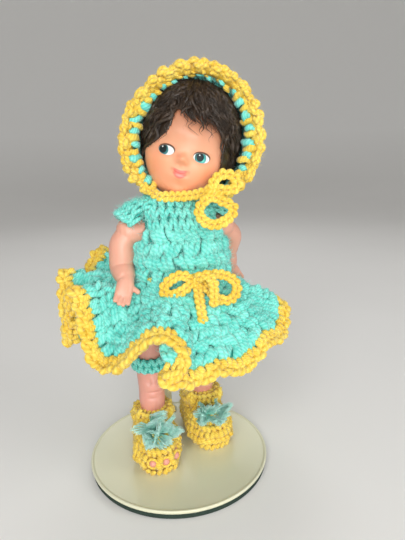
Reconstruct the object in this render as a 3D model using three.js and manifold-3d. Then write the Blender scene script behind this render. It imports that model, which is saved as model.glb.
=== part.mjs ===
// A small vinyl play doll in a crochet outfit, standing on a round display stand.
// Millimetres, +Z up, the doll faces -Y, its right side is -X.
// The origin is the centre of the stand's felt underside.
import * as THREE from 'three';
import { mergeVertices } from 'three/addons/utils/BufferGeometryUtils.js';
import Module from 'manifold-3d';

const wasm = await Module();
wasm.setup();

// Clearances
const GAP = 0.3;
const RUNNING_GAP = 0.35;

// Stand
const DISC_RADIUS = 38;
const DISC_THICKNESS = 1.8;
const RIM_WIDTH = 0.9;
const RIM_HEIGHT = 0.4;
const DISC_EDGE = 0.5;
const PAD_THICKNESS = 1.2;
const PAD_INSET = 0.5;
const DISC_TOP = PAD_THICKNESS + GAP + DISC_THICKNESS;
const POST_RADIUS = 2.2;
const POST_FOOT_RADIUS = 4.4;
const POST_FOOT_HEIGHT = 5;
const SPIGOT_RADIUS = 1.5;
const CRADLE_HEIGHT = 4;
const CRADLE_WALL = 1.8;
const CRADLE_ARM = 5.8;
const CRADLE_TIP_DEG = 8;
const SLEEVE_WALL = 1.4;
const SLEEVE_DROP = 5;

// Where the doll stands on the disc, and how far it leans to its left
const DOLL_X = 2.5;
const DOLL_Y = 9;
const LEAN_DEG = 3;

// Doll body, heights over the disc
const HIP_HEIGHT = 57;
const TORSO_LENGTH = 39;
const NECK_LENGTH = 9;
const SHOULDER_HEIGHT = HIP_HEIGHT + TORSO_LENGTH;
const NECK_HEIGHT = SHOULDER_HEIGHT + NECK_LENGTH;
const SKIN_WALL = 1.7;
const HIP_SEAT = 6;
const HIP_DISC_RADIUS = 10;
const HIP_STEM_RADIUS = 3.4;
const HIP_BULGE = 10;
const SHOULDER_SEAT = 13.4;
const SHOULDER_RADIUS = 5.4;
const SHOULDER_STEM_RADIUS = 2.2;
const FLANGE_WIDTH = 1.2;
const FLANGE_THICKNESS = 1.1;
const THIGH_RADIUS = 5.9;
const ANKLE_RADIUS = 5.2;
const LEG_CENTRE = HIP_SEAT + 6.4;
const RIGHT_STRIDE = -3;
const LEFT_STRIDE = 5;

// Head, heights over the neck joint
const NECK_BACK = 1;
const NECK_RADIUS = 4.2;
const NECK_FLANGE = 1.5;
const NECK_COLLAR_RADIUS = 6;
const NECK_SKIN = 1.8;
const HEAD_TURN_DEG = -18;
const HEAD_TILT_DEG = 12.5;
const HEAD_WIDTH = 34.6;
const HEAD_DEPTH = 35.6;
const HEAD_HEIGHT = 39;
const HEAD_RISE = 27;
const HEAD_WALL = 2;
const JAW_TAPER = 0.12;
const CHIN_DROP = 2;
const HAIR_DEPTH = 2.1;
const CURL_DEPTH = 0.5;

// Crochet
const KNIT = 2;
const CORD_RADIUS = 1.4;
const BOOT_WALL = 2;
const SOLE_RISE = 0.6;
const BOOT_TOP = 20;
const CUFF_RADIUS = 1.9;
const BONNET_SLACK = 0.9;
const BONNET_SHIFT = 0.9;
const BONNET_FLARE = 1.6;
const BONNET_FRONT = -6;
const BONNET_START_DEG = -44;
const BONNET_END_DEG = 240;
const RUFFLE_WIDTH = 3.8;
const RUFFLE_WAVES = 20;
const RUFFLE_WAVE = 0.9;
const WAIST_RISE = 20;
const WAIST_HEIGHT = HIP_HEIGHT + WAIST_RISE;
const WAIST_SHIFT = 3.8;
const WAIST_HALF_WIDTH = 19.4;
const WAIST_HALF_DEPTH = 14.8;
const SKIRT_KNIT = 1.8;
const EDGING_RADIUS = 1.5;
const BRIEF_HEIGHT = 11.5;
const KNICKER_LEG = 6;
const KNICKER_KNIT = 1.1;
const BUTTON_RADIUS = 2.6;
const CAP_REACH = 11;

// Colours of the materials
const COLOURS = {
  felt: 0x1d2a22,
  enamel: 0xded9bf,
  skin: 0xf0b090,
  hair: 0x2b2018,
  aqua: 0x62dccb,
  yellow: 0xf0cd45,
};

// Small helpers
const rad = THREE.MathUtils.degToRad;
const vec = (x, y, z) => new THREE.Vector3(x, y, z);
const lean = (z) => Math.tan(rad(LEAN_DEG)) * Math.max(0, z - HIP_HEIGHT);

function material(color, roughness, metalness = 0) {
  return new THREE.MeshStandardMaterial({ color, roughness, metalness });
}

function part(name, geometry, finish) {
  const mesh = new THREE.Mesh(geometry, finish);
  mesh.name = name;
  return mesh;
}

// Merge shared vertices and drop the empty triangles that poles leave
function weld(geometry) {
  const bare = geometry.clone();
  bare.deleteAttribute('normal');
  bare.deleteAttribute('uv');
  const merged = mergeVertices(bare, 1e-4);
  const index = merged.index.array;
  const kept = [];
  for (let i = 0; i < index.length; i += 3) {
    const [a, b, c] = [index[i], index[i + 1], index[i + 2]];
    if (a !== b && b !== c && c !== a) kept.push(a, b, c);
  }
  merged.setIndex(kept);
  return merged;
}

// Build a geometry from points and faces, turned so that its faces point out
function fromFaces(points, faces) {
  let volume = 0;
  const cross = new THREE.Vector3();
  for (const [a, b, c] of faces) {
    volume += points[a].dot(cross.crossVectors(points[b], points[c]));
  }
  const turned = volume < 0 ? faces.map(([a, b, c]) => [a, c, b]) : faces;
  const geometry = new THREE.BufferGeometry();
  geometry.setFromPoints(points);
  geometry.setIndex(turned.flat());
  return weld(geometry);
}

function solid(geometry) {
  const welded = weld(geometry);
  const vertProperties = new Float32Array(welded.attributes.position.array);
  const triVerts = new Uint32Array(welded.index.array);
  return new wasm.Manifold(new wasm.Mesh({ numProp: 3, vertProperties, triVerts }));
}

function geometryOf(manifold) {
  const { vertProperties, triVerts } = manifold.getMesh();
  const geometry = new THREE.BufferGeometry();
  geometry.setAttribute('position', new THREE.BufferAttribute(new Float32Array(vertProperties), 3));
  geometry.setIndex(new THREE.BufferAttribute(new Uint32Array(triVerts), 1));
  return geometry;
}

// Loft rings of equal count into one solid, with a fan on each end
function loft(rings) {
  const n = rings[0].length;
  const points = rings.flat();
  const faces = [];
  for (let k = 0; k + 1 < rings.length; k++) {
    for (let i = 0; i < n; i++) {
      const a = k * n + i;
      const b = k * n + (i + 1) % n;
      faces.push([a, b, b + n], [a, b + n, a + n]);
    }
  }
  for (const k of [0, rings.length - 1]) {
    const centre = rings[k].reduce((sum, p) => sum.add(p), vec(0, 0, 0)).divideScalar(n);
    const hub = points.push(centre) - 1;
    for (let i = 0; i < n; i++) {
      const a = k * n + i;
      const b = k * n + (i + 1) % n;
      faces.push(k === 0 ? [hub, b, a] : [hub, a, b]);
    }
  }
  return fromFaces(points, faces);
}

function levelRing(x, y, z, a, b, sides) {
  return Array.from({ length: sides }, (_, i) => {
    const t = 2 * Math.PI * i / sides;
    return vec(x + a * Math.cos(t), y + b * Math.sin(t), z);
  });
}

// Stations are [x, y, z, half width, half depth] down the middle of a limb
function limb(stations, sides) {
  const middle = stations.map(([x, y, z]) => vec(x, y, z));
  const rings = stations.map(([, , , a, b], k) => {
    const before = middle[Math.max(0, k - 1)];
    const after = middle[Math.min(middle.length - 1, k + 1)];
    const along = after.clone().sub(before).normalize();
    const across = vec(1, 0, 0).addScaledVector(along, -along.x).normalize();
    const third = along.clone().cross(across);
    return Array.from({ length: sides }, (_, i) => {
      const t = 2 * Math.PI * i / sides;
      return middle[k].clone()
        .addScaledVector(across, a * Math.cos(t))
        .addScaledVector(third, b * Math.sin(t));
    });
  });
  return loft(rings);
}

// A wall between two surfaces (u, v) -> point; closed wraps u round
function wall(outer, inner, nu, nv, closed) {
  const columns = closed ? nu : nu + 1;
  const points = [];
  for (const surface of [outer, inner]) {
    for (let i = 0; i < columns; i++) {
      for (let j = 0; j <= nv; j++) points.push(surface(i / nu, j / nv));
    }
  }
  const at = (layer, i, j) => (layer * columns + i % columns) * (nv + 1) + j;
  const faces = [];
  const quad = (a, b, c, d) => faces.push([a, b, c], [a, c, d]);
  for (let i = 0; i < nu; i++) {
    for (let j = 0; j < nv; j++) {
      quad(at(0, i, j), at(0, i + 1, j), at(0, i + 1, j + 1), at(0, i, j + 1));
      quad(at(1, i, j), at(1, i, j + 1), at(1, i + 1, j + 1), at(1, i + 1, j));
    }
    quad(at(0, i, 0), at(1, i, 0), at(1, i + 1, 0), at(0, i + 1, 0));
    quad(at(0, i, nv), at(0, i + 1, nv), at(1, i + 1, nv), at(1, i, nv));
  }
  if (!closed) {
    for (let j = 0; j < nv; j++) {
      quad(at(0, 0, j), at(0, 0, j + 1), at(1, 0, j + 1), at(1, 0, j));
      quad(at(0, nu, j), at(1, nu, j), at(1, nu, j + 1), at(0, nu, j + 1));
    }
  }
  return fromFaces(points, faces);
}

function cord(points, radius, steps, sides = 6) {
  const path = new THREE.CatmullRomCurve3(points.map((p) => vec(...p)));
  const section = new THREE.Shape();
  section.absarc(0, 0, radius, 0, 2 * Math.PI);
  const options = { steps, extrudePath: path, bevelEnabled: false, curveSegments: sides / 2 };
  return weld(new THREE.ExtrudeGeometry(section, options));
}

// A tube that closes on itself through points of a curve t -> point
function ringTube(curve, radius, steps, sides) {
  const points = [];
  for (let i = 0; i < steps; i++) {
    const here = curve(i / steps);
    const along = curve((i + 0.5) / steps).sub(curve((i - 0.5) / steps)).normalize();
    const across = vec(0, 0, 1).addScaledVector(along, -along.z).normalize();
    const third = along.clone().cross(across);
    for (let k = 0; k < sides; k++) {
      const t = 2 * Math.PI * k / sides;
      points.push(here.clone()
        .addScaledVector(across, radius * Math.cos(t))
        .addScaledVector(third, radius * Math.sin(t)));
    }
  }
  const faces = [];
  for (let i = 0; i < steps; i++) {
    for (let k = 0; k < sides; k++) {
      const a = i * sides + k;
      const b = i * sides + (k + 1) % sides;
      const next = ((i + 1) % steps - i) * sides;
      faces.push([a, b, b + next], [a, b + next, a + next]);
    }
  }
  return fromFaces(points, faces);
}

// A turned piece along X: profile of [radius, x]
function turnedOnX(profile, segments) {
  const shape = new THREE.LatheGeometry(profile.map(([r, x]) => new THREE.Vector2(r, x)), segments);
  return shape.rotateZ(-Math.PI / 2);
}

// A turned piece along Z: profile of [radius, z]
function turnedOnZ(profile, segments) {
  const shape = new THREE.LatheGeometry(profile.map(([r, z]) => new THREE.Vector2(r, z)), segments);
  return shape.rotateX(Math.PI / 2);
}

function ball(width, depth, height, x, y, z, across = 20, down = 14) {
  const shape = new THREE.SphereGeometry(1, across, down).rotateX(Math.PI / 2);
  return shape.scale(width / 2, depth / 2, height / 2).translate(x, y, z);
}

// Stand
function basePad() {
  const r = DISC_RADIUS - PAD_INSET;
  return weld(turnedOnZ([[0, 0], [r, 0], [r, PAD_THICKNESS], [0, PAD_THICKNESS]], 48));
}

function baseDisc() {
  const bottom = PAD_THICKNESS + GAP;
  const lip = DISC_TOP + RIM_HEIGHT;
  const inner = DISC_RADIUS - RIM_WIDTH;
  const plate = turnedOnZ([
    [0, bottom], [DISC_RADIUS - DISC_EDGE, bottom], [DISC_RADIUS, bottom + DISC_EDGE],
    [DISC_RADIUS, lip - RIM_HEIGHT / 2], [DISC_RADIUS - RIM_WIDTH / 3, lip],
    [inner, lip], [inner - RIM_HEIGHT, DISC_TOP], [0, DISC_TOP],
  ], 48);
  const bore = SPIGOT_RADIUS + GAP;
  const hole = new THREE.CylinderGeometry(bore, bore, 4 * DISC_THICKNESS, 16).rotateX(Math.PI / 2);
  hole.translate(DOLL_X, DOLL_Y + POST_BACK, DISC_TOP);
  return geometryOf(solid(plate).subtract(solid(hole)));
}

// Knickers and cradle are fitted round the hips
const BRIEF_HALF_WIDTH = HIP_SEAT + 5 * GAP + HIP_BULGE;
const BRIEF_HALF_DEPTH = 12.6 + 2 * GAP;
const CRADLE_BOTTOM = HIP_HEIGHT + 3;
const CRADLE_HALF_WIDTH = Math.max(BRIEF_HALF_WIDTH, LEG_CENTRE + THIGH_RADIUS) + KNICKER_KNIT + 4 * GAP;
const CRADLE_HALF_DEPTH = BRIEF_HALF_DEPTH + KNICKER_KNIT + 2 * GAP;
const POST_BACK = CRADLE_HALF_DEPTH + CRADLE_WALL + CRADLE_ARM;

function standPost() {
  const top = CRADLE_BOTTOM + CRADLE_HEIGHT - SLEEVE_WALL - GAP;
  const waist = THREE.MathUtils.lerp(POST_RADIUS, POST_FOOT_RADIUS, 0.25);
  return weld(turnedOnZ([
    [0, GAP - DISC_THICKNESS], [SPIGOT_RADIUS, GAP - DISC_THICKNESS], [SPIGOT_RADIUS, GAP],
    [POST_FOOT_RADIUS, GAP], [POST_FOOT_RADIUS, POST_FOOT_HEIGHT / 5], [waist, POST_FOOT_HEIGHT / 2],
    [POST_RADIUS, POST_FOOT_HEIGHT], [POST_RADIUS, top], [0, top],
  ], 20)).translate(0, POST_BACK, 0);
}

// A fork open to the front, held by a sleeve on the post
function waistCradle() {
  const start = rad(-CRADLE_TIP_DEG);
  const end = Math.PI - start;
  const fork = new THREE.Shape();
  const [a, b] = [CRADLE_HALF_WIDTH, CRADLE_HALF_DEPTH];
  fork.absellipse(0, 0, a + CRADLE_WALL, b + CRADLE_WALL, start, end, false);
  fork.absellipse(0, 0, a, b, end, start, true);
  const level = { depth: CRADLE_HEIGHT, bevelEnabled: false, curveSegments: 14 };
  const band = new THREE.ExtrudeGeometry(fork, level).translate(0, 0, CRADLE_BOTTOM);
  const armFront = b + CRADLE_WALL / 2;
  const arm = new THREE.BoxGeometry(2 * POST_RADIUS, POST_BACK - armFront, CRADLE_HEIGHT);
  arm.translate(0, (POST_BACK + armFront) / 2, CRADLE_BOTTOM + CRADLE_HEIGHT / 2);
  const tall = CRADLE_HEIGHT + SLEEVE_DROP;
  const outer = POST_RADIUS + GAP + SLEEVE_WALL;
  const middle = CRADLE_BOTTOM - SLEEVE_DROP + tall / 2;
  const sleeve = new THREE.CylinderGeometry(outer, outer, tall, 20).rotateX(Math.PI / 2);
  sleeve.translate(0, POST_BACK, middle);
  const inner = POST_RADIUS + GAP;
  const bore = new THREE.CylinderGeometry(inner, inner, tall, 20).rotateX(Math.PI / 2);
  bore.translate(0, POST_BACK, middle - SLEEVE_WALL);
  return geometryOf(solid(band).add(solid(arm)).add(solid(sleeve)).subtract(solid(bore)));
}

// Torso, hollow, with sockets for the plugged limbs: [height, half width, half depth]
const TORSO_SECTIONS = [
  [HIP_HEIGHT - 9.5, HIP_SEAT * 0.55, 4.5], [HIP_HEIGHT - 8, HIP_SEAT * 0.8, 7.5],
  [HIP_HEIGHT - 6, HIP_SEAT + 0.6, 10], [HIP_HEIGHT - 2, 13.2, 12.2], [HIP_HEIGHT + 4, 13.8, 12.6],
  [HIP_HEIGHT + 0.28 * TORSO_LENGTH, 13.4, 11.8], [HIP_HEIGHT + 0.5 * TORSO_LENGTH, 12.6, 10.8],
  [SHOULDER_HEIGHT - 10, 13.2, 10.8], [SHOULDER_HEIGHT - 1, SHOULDER_SEAT + 0.8, 10],
  [SHOULDER_HEIGHT + 3, SHOULDER_SEAT - 0.4, 9], [SHOULDER_HEIGHT + 5, 11.4, 7.6],
  [SHOULDER_HEIGHT + 6.2, 7.4, 6],
];
const CAVITY_SECTIONS = [
  [HIP_HEIGHT - 7.4, HIP_SEAT - SKIN_WALL - 0.6, 6], [HIP_HEIGHT - 6, HIP_SEAT - SKIN_WALL, 8.4],
  [HIP_HEIGHT + 9, HIP_SEAT - SKIN_WALL, 10], [HIP_HEIGHT + 12.5, 9.4, 9.8],
  [HIP_HEIGHT + 0.5 * TORSO_LENGTH, 10.8, 9], [SHOULDER_HEIGHT - 6, SHOULDER_SEAT - SKIN_WALL, 8.8],
  [SHOULDER_HEIGHT + 0.5, SHOULDER_SEAT - SKIN_WALL, 8], [SHOULDER_HEIGHT + 4.2, 8.6, 5.4],
];

function torsoForm(sections, grow, sides) {
  return loft(sections.map(([z, a, b]) => levelRing(lean(z), 0, z, a + grow, b + grow, sides)));
}

function neckPoint() {
  return vec(lean(NECK_HEIGHT), NECK_BACK, NECK_HEIGHT);
}

function neckTurn() {
  const turn = new THREE.Euler(0, rad(HEAD_TILT_DEG), rad(HEAD_TURN_DEG), 'ZYX');
  return new THREE.Quaternion().setFromEuler(turn);
}

// The room that a limb's plug takes in the torso's wall: points of [radius, x]
function socket(seat, stem) {
  const bore = stem + RUNNING_GAP;
  const pocket = bore + FLANGE_WIDTH;
  const skin = seat - SKIN_WALL;
  const start = skin - FLANGE_THICKNESS - 3 * RUNNING_GAP;
  return [[0, start], [pocket, start], [pocket, skin], [bore, skin], [bore, seat]];
}

const mirrored = (shape, side) => (side > 0 ? shape : shape.mirror([1, 0, 0]));

function hipCut(side) {
  const reach = 2 * LEG_CENTRE;
  const r = HIP_DISC_RADIUS + RUNNING_GAP;
  const round = turnedOnX([...socket(HIP_SEAT, HIP_STEM_RADIUS), [r, HIP_SEAT], [r, reach], [0, reach]], 24);
  round.translate(0, 0, HIP_HEIGHT);
  const below = new THREE.BoxGeometry(reach - HIP_SEAT, 4 * r, 2 * r);
  below.translate((reach + HIP_SEAT) / 2, 0, HIP_HEIGHT - r - 2);
  return mirrored(solid(round).add(solid(below)), side);
}

function shoulderCut(side) {
  const r = SHOULDER_RADIUS + 1;
  const reach = 2 * SHOULDER_SEAT;
  const pit = socket(SHOULDER_SEAT, SHOULDER_STEM_RADIUS);
  const cut = solid(turnedOnX([...pit, [r, SHOULDER_SEAT], [r, reach], [0, reach]], 18));
  return mirrored(cut, side).translate([lean(SHOULDER_HEIGHT), 0, SHOULDER_HEIGHT]);
}

function torso() {
  const shell = solid(torsoForm(TORSO_SECTIONS, 0, 18));
  const cavity = solid(torsoForm(CAVITY_SECTIONS, 0, 14));
  const skin = NECK_SKIN / 2 + RUNNING_GAP;
  const flange = NECK_RADIUS + NECK_FLANGE;
  const neck = turnedOnZ([
    [0, -6], [NECK_COLLAR_RADIUS, -5], [NECK_COLLAR_RADIUS - 0.5, -skin], [NECK_RADIUS, -skin],
    [NECK_RADIUS, skin], [flange, skin], [flange - 0.7, skin + 1.2], [0, skin + 1.8],
  ], 20);
  neck.applyMatrix4(new THREE.Matrix4().compose(neckPoint(), neckTurn(), vec(1, 1, 1)));
  let body = shell.add(solid(neck)).subtract(cavity);
  for (const side of [-1, 1]) {
    body = body.subtract(hipCut(side)).subtract(shoulderCut(side));
  }
  return geometryOf(body);
}

// Head, in its own frame: the origin is the neck joint, +Z the neck's axis.
// Places on the face are shares of the half width and half height from the head's middle.
function bump(x, z, middleX, middleZ, reachX, reachZ) {
  return Math.exp(-(((x - middleX) / reachX) ** 2) - ((z - middleZ) / reachZ) ** 2);
}

function pair(x, z, middleX, middleZ, reachX, reachZ) {
  return bump(x, z, -middleX, middleZ, reachX, reachZ) + bump(x, z, middleX, middleZ, reachX, reachZ);
}

// How far the face stands out from the plain skull, as a share of the half depth
function faceRelief(x, z) {
  const nose = 0.13 * bump(x, z, 0, -0.37, 0.12, 0.1);
  const cheeks = 0.065 * pair(x, z, 0.48, -0.55, 0.28, 0.22);
  const lips = 0.04 * bump(x, z, 0, -0.555, 0.17, 0.06);
  const chin = 0.07 * bump(x, z, 0, -0.86, 0.24, 0.14);
  const eyes = 0.05 * pair(x, z, 0.4, -0.21, 0.2, 0.12);
  const brow = 0.03 * bump(x, z, 0, 0.12, 0.5, 0.15);
  return nose + cheeks + lips + chin + brow - eyes;
}

function headForm(across, down) {
  const shape = new THREE.SphereGeometry(1, across, down).rotateX(Math.PI / 2);
  const spots = shape.attributes.position;
  for (let i = 0; i < spots.count; i++) {
    const n = vec(spots.getX(i), spots.getY(i), spots.getZ(i));
    const jaw = THREE.MathUtils.smoothstep(-n.z, 0.2, 1);
    const front = THREE.MathUtils.smoothstep(-n.y, 0.2, 0.6);
    const x = n.x * (1 - JAW_TAPER * jaw);
    const y = n.y - front * faceRelief(n.x, n.z);
    const chin = THREE.MathUtils.smoothstep(-n.z, 0.3, 1) * THREE.MathUtils.smoothstep(-n.y, -0.3, 0.4);
    const half = HEAD_HEIGHT / 2 + CHIN_DROP * chin;
    spots.setXYZ(i, x * HEAD_WIDTH / 2, y * HEAD_DEPTH / 2, n.z * half + HEAD_RISE);
  }
  return shape;
}

function head() {
  const hollow = [HEAD_WIDTH, HEAD_DEPTH, HEAD_HEIGHT].map((size) => size - 2 * HEAD_WALL);
  const cavity = ball(...hollow, 0, 0, HEAD_RISE, 14, 10);
  const skin = NECK_SKIN / 2;
  const bore = NECK_RADIUS + RUNNING_GAP;
  const inside = NECK_RADIUS + NECK_FLANGE + RUNNING_GAP;
  const middle = HEAD_RISE - HEAD_HEIGHT / 4;
  const seat = turnedOnZ([
    [0, -2 * skin], [bore, -2 * skin], [bore, skin], [inside, skin], [inside, middle], [0, middle],
  ], 20);
  const base = HEAD_RISE - HEAD_HEIGHT / 2;
  const throat = turnedOnZ([
    [0, -skin], [inside + 0.4, -skin], [inside + 0.8, 0.3 * base], [inside + 2, base + 2], [0, base + 3],
  ], 20);
  const skull = solid(headForm(24, 18)).add(solid(throat));
  return geometryOf(skull.subtract(solid(cavity)).subtract(solid(seat)));
}

// The window that the fringe and side locks leave for the face,
// as shares of the half width and half height
const FACE_WINDOW = [
  [-0.92, -1.3], [-0.9, -0.6], [-0.87, -0.06], [-0.66, 0.03], [-0.47, 0.2], [-0.32, 0.55], [0, 0.42],
  [0.35, 0.37], [0.65, 0.25], [0.78, -0.05], [0.83, -0.45], [0.81, -0.85], [0.75, -1.3],
];

function hair() {
  const [width, depth, height] = [HEAD_WIDTH, HEAD_DEPTH, HEAD_HEIGHT].map((size) => size + 2 * HAIR_DEPTH);
  const cap = ball(width, depth, height, 0, 0, 0, 24, 16);
  const spots = cap.attributes.position;
  for (let i = 0; i < spots.count; i++) {
    const p = vec(spots.getX(i), spots.getY(i), spots.getZ(i));
    const turn = Math.atan2(p.y, p.x);
    const high = 2 * p.z / height;
    const curl = Math.sin(7 * turn + 9 * high) * Math.sin(8 * high + 1) * (1 - high * high);
    p.setLength(p.length() + CURL_DEPTH * curl);
    spots.setXYZ(i, p.x, p.y, p.z);
  }
  cap.translate(0, 0, HEAD_RISE + HAIR_DEPTH / 2);
  const outline = FACE_WINDOW.map(([x, z]) => (
    new THREE.Vector2(x * HEAD_WIDTH / 2, HEAD_RISE + z * HEAD_HEIGHT / 2)
  ));
  const face = new THREE.ExtrudeGeometry(new THREE.Shape(outline), { depth, bevelEnabled: false });
  face.rotateX(Math.PI / 2);
  const under = new THREE.BoxGeometry(2 * width, 2 * depth, height);
  under.translate(0, 0, HEAD_RISE - 0.8 * HEAD_HEIGHT / 2 - height / 2);
  const room = 3 * GAP;
  const inside = ball(HEAD_WIDTH + room, HEAD_DEPTH + 2 * room, HEAD_HEIGHT + room, 0, 0, HEAD_RISE, 22, 16);
  return geometryOf(solid(cap).subtract(solid(inside)).subtract(solid(face)).subtract(solid(under)));
}

// A stem and the flange that snaps behind the torso's skin: points of [radius, x]
function plug(seat, radius) {
  const end = seat - SKIN_WALL - RUNNING_GAP;
  const flange = radius + FLANGE_WIDTH;
  return [[0, end - FLANGE_THICKNESS], [flange, end - FLANGE_THICKNESS], [flange, end], [radius, end]];
}

// Arms, from the shoulder joint, written for the left side; places are from the shoulder seat
const RIGHT_ARM = {
  upper: [9.2, 0.3, -5],
  elbow: [9.8, 0.2, -14.6],
  wrist: [9.4, -7.6, -18.6],
  tip: [13, -14.6, -25.8],
};
const LEFT_ARM = {
  upper: [11.8, 4.6, -5],
  elbow: [11.6, 9.6, -14],
  wrist: [14.2, 11.6, -21.8],
  tip: [19.8, 13, -29.6],
};
const FINGER_LENGTHS = [0.82, 1, 0.96, 0.76];
const FINGER_RADIUS = 0.95;
const FINGER_PITCH = 1.55;
const THUMB_RADIUS = 1.1;

function finger(start, end, radius) {
  const shape = new THREE.CapsuleGeometry(radius, start.distanceTo(end), 2, 6);
  const turn = new THREE.Quaternion().setFromUnitVectors(vec(0, 1, 0), end.clone().sub(start).normalize());
  return shape.applyMatrix4(new THREE.Matrix4().compose(start.clone().lerp(end, 0.5), turn, vec(1, 1, 1)));
}

function arm(side, bend) {
  const seat = SHOULDER_SEAT + GAP;
  const r = SHOULDER_RADIUS;
  const shoulder = turnedOnX([
    ...plug(SHOULDER_SEAT, SHOULDER_STEM_RADIUS), [SHOULDER_STEM_RADIUS, seat], [r - 0.4, seat],
    [r, seat + 1], [r, seat + 6.4], [r * 0.86, seat + 9.2], [r * 0.5, seat + 10.8], [0, seat + 11.2],
  ], 18);
  const joints = [bend.upper, bend.elbow, bend.wrist, bend.tip];
  const [upper, elbow, wrist, tip] = joints.map(([x, y, z]) => vec(seat + x, y, z));
  const biceps = upper.clone().lerp(elbow, 0.55);
  const forearm = elbow.clone().lerp(wrist, 0.5);
  const palm = wrist.clone().lerp(tip, 0.4);
  const knuckles = wrist.clone().lerp(tip, 0.62);
  const sleeve = limb([
    [seat + 5.4, 0, 2, 2, 2.6], [seat + 6, 0, 0, 4, 4.6], [...upper, 4.9, 5.1],
    [...biceps, 5.2, 5.1], [...elbow, 5, 4.9], [...forearm, 4.4, 4.3], [...wrist, 3.2, 3],
    [...palm, 3.6, 2.2], [...knuckles, 3.1, 1.6],
  ], 12);
  let shape = solid(shoulder).add(solid(sleeve));
  const along = tip.clone().sub(wrist).normalize();
  const across = vec(1, 0, 0).addScaledVector(along, -along.x).normalize();
  const root = wrist.clone().lerp(tip, 0.5);
  const reach = tip.distanceTo(root);
  for (const [i, share] of FINGER_LENGTHS.entries()) {
    const start = root.clone().addScaledVector(across, FINGER_PITCH * (i - 1.5));
    const end = start.clone().addScaledVector(along, reach * share);
    shape = shape.add(solid(finger(start, end, FINGER_RADIUS)));
  }
  const thumbRoot = wrist.clone().lerp(tip, 0.2).addScaledVector(across, -2);
  const thumbTip = thumbRoot.clone().addScaledVector(across, -3.4).addScaledVector(along, 1.6);
  shape = shape.add(solid(finger(thumbRoot, thumbTip, THUMB_RADIUS)));
  return geometryOf(mirrored(shape, side));
}

// The last that foot and bootie share: [along the foot, half width, height over the sole]
const FOOT_SECTIONS = [
  [9.6, 3.4, 6], [8, 5, 8.2], [4, 6.2, 10.4], [-2, 6.6, 11],
  [-8, 7.6, 9.4], [-13, 8, 7.8], [-16.6, 7, 6.6], [-18.8, 4.6, 5],
];
// Toes from the big toe's far side: [across, radius]
const TOES = [[-4.3, 1.4], [-1.6, 1.6], [1.4, 1.7], [4.4, 1.8]];
const SOLE = SOLE_RISE + BOOT_WALL + GAP;

// The heel rolls up, so that the leg can swing forward over the disc
function heelRise(y) {
  return y > 0 ? HIP_HEIGHT - Math.sqrt(HIP_HEIGHT * HIP_HEIGHT - y * y) : 0;
}

function footForm(stride, grow, ankleTop) {
  const sides = 12;
  const rings = FOOT_SECTIONS.map(([along, half, high], k) => {
    const last = k === FOOT_SECTIONS.length - 1;
    const y = stride + along + (k === 0 ? grow : last ? -grow : 0);
    const bottom = SOLE - grow + heelRise(y);
    const top = Math.max(SOLE + high + grow, bottom + 3);
    const middle = bottom + 0.4 * (top - bottom);
    return Array.from({ length: sides }, (_, i) => {
      const s = Math.sin(2 * Math.PI * i / sides);
      const z = s > 0 ? middle + (top - middle) * s : middle - (middle - bottom) * Math.abs(s) ** 0.6;
      return vec((half + grow) * Math.cos(2 * Math.PI * i / sides), y, z);
    });
  });
  const r = ANKLE_RADIUS + grow;
  const ankle = [
    levelRing(0, stride + 0.4, SOLE + 4, r - 0.8, r, sides),
    levelRing(0, stride + 0.2, SOLE + 9, r, r + 0.5, sides),
    levelRing(0, stride, ankleTop, r, r + 0.2, sides),
  ];
  return solid(loft(rings)).add(solid(loft(ankle))).translate([LEG_CENTRE, 0, 0]);
}

function leg(side, stride) {
  const seat = HIP_SEAT + GAP;
  const r = HIP_DISC_RADIUS;
  const hip = turnedOnX([
    ...plug(HIP_SEAT, HIP_STEM_RADIUS), [HIP_STEM_RADIUS, seat], [r - 0.6, seat], [r, seat + 0.8],
    [r, seat + 2], [r * 0.9, seat + 0.48 * HIP_BULGE], [r * 0.66, seat + 0.8 * HIP_BULGE],
    [r * 0.3, seat + HIP_BULGE - 0.4], [0, seat + HIP_BULGE],
  ], 18);
  hip.translate(0, 0, HIP_HEIGHT);
  const t = THIGH_RADIUS;
  const reach = HIP_HEIGHT - BOOT_TOP;
  const station = (share, bulge, a, b) => (
    [LEG_CENTRE, stride * share + bulge, HIP_HEIGHT - share * reach, a, b]
  );
  const thigh = limb([
    station(0, 0, t - 1.2, t + 0.6), station(0.25, 0, t - 0.7, t + 0.6), station(0.43, 0, t, t + 0.4),
    station(0.6, 0, t, t + 0.2), station(0.72, -0.5, t - 0.2, t + 0.2), station(0.83, 0, t - 0.4, t - 0.1),
    station(0.94, 0, t - 0.3, t - 0.1), station(1.1, 0, ANKLE_RADIUS - GAP, ANKLE_RADIUS - GAP),
  ], 14);
  let shape = solid(hip).add(solid(thigh)).add(footForm(stride, -GAP, BOOT_TOP - 2));
  for (const [x, size] of TOES) {
    const y = stride - 16.2 + 0.05 * x * x;
    const toe = ball(2 * size, 2.6 * size, 2 * size, LEG_CENTRE - x, y, SOLE + size + 0.3, 8, 6);
    shape = shape.add(solid(toe));
  }
  return geometryOf(mirrored(shape, side));
}

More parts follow.
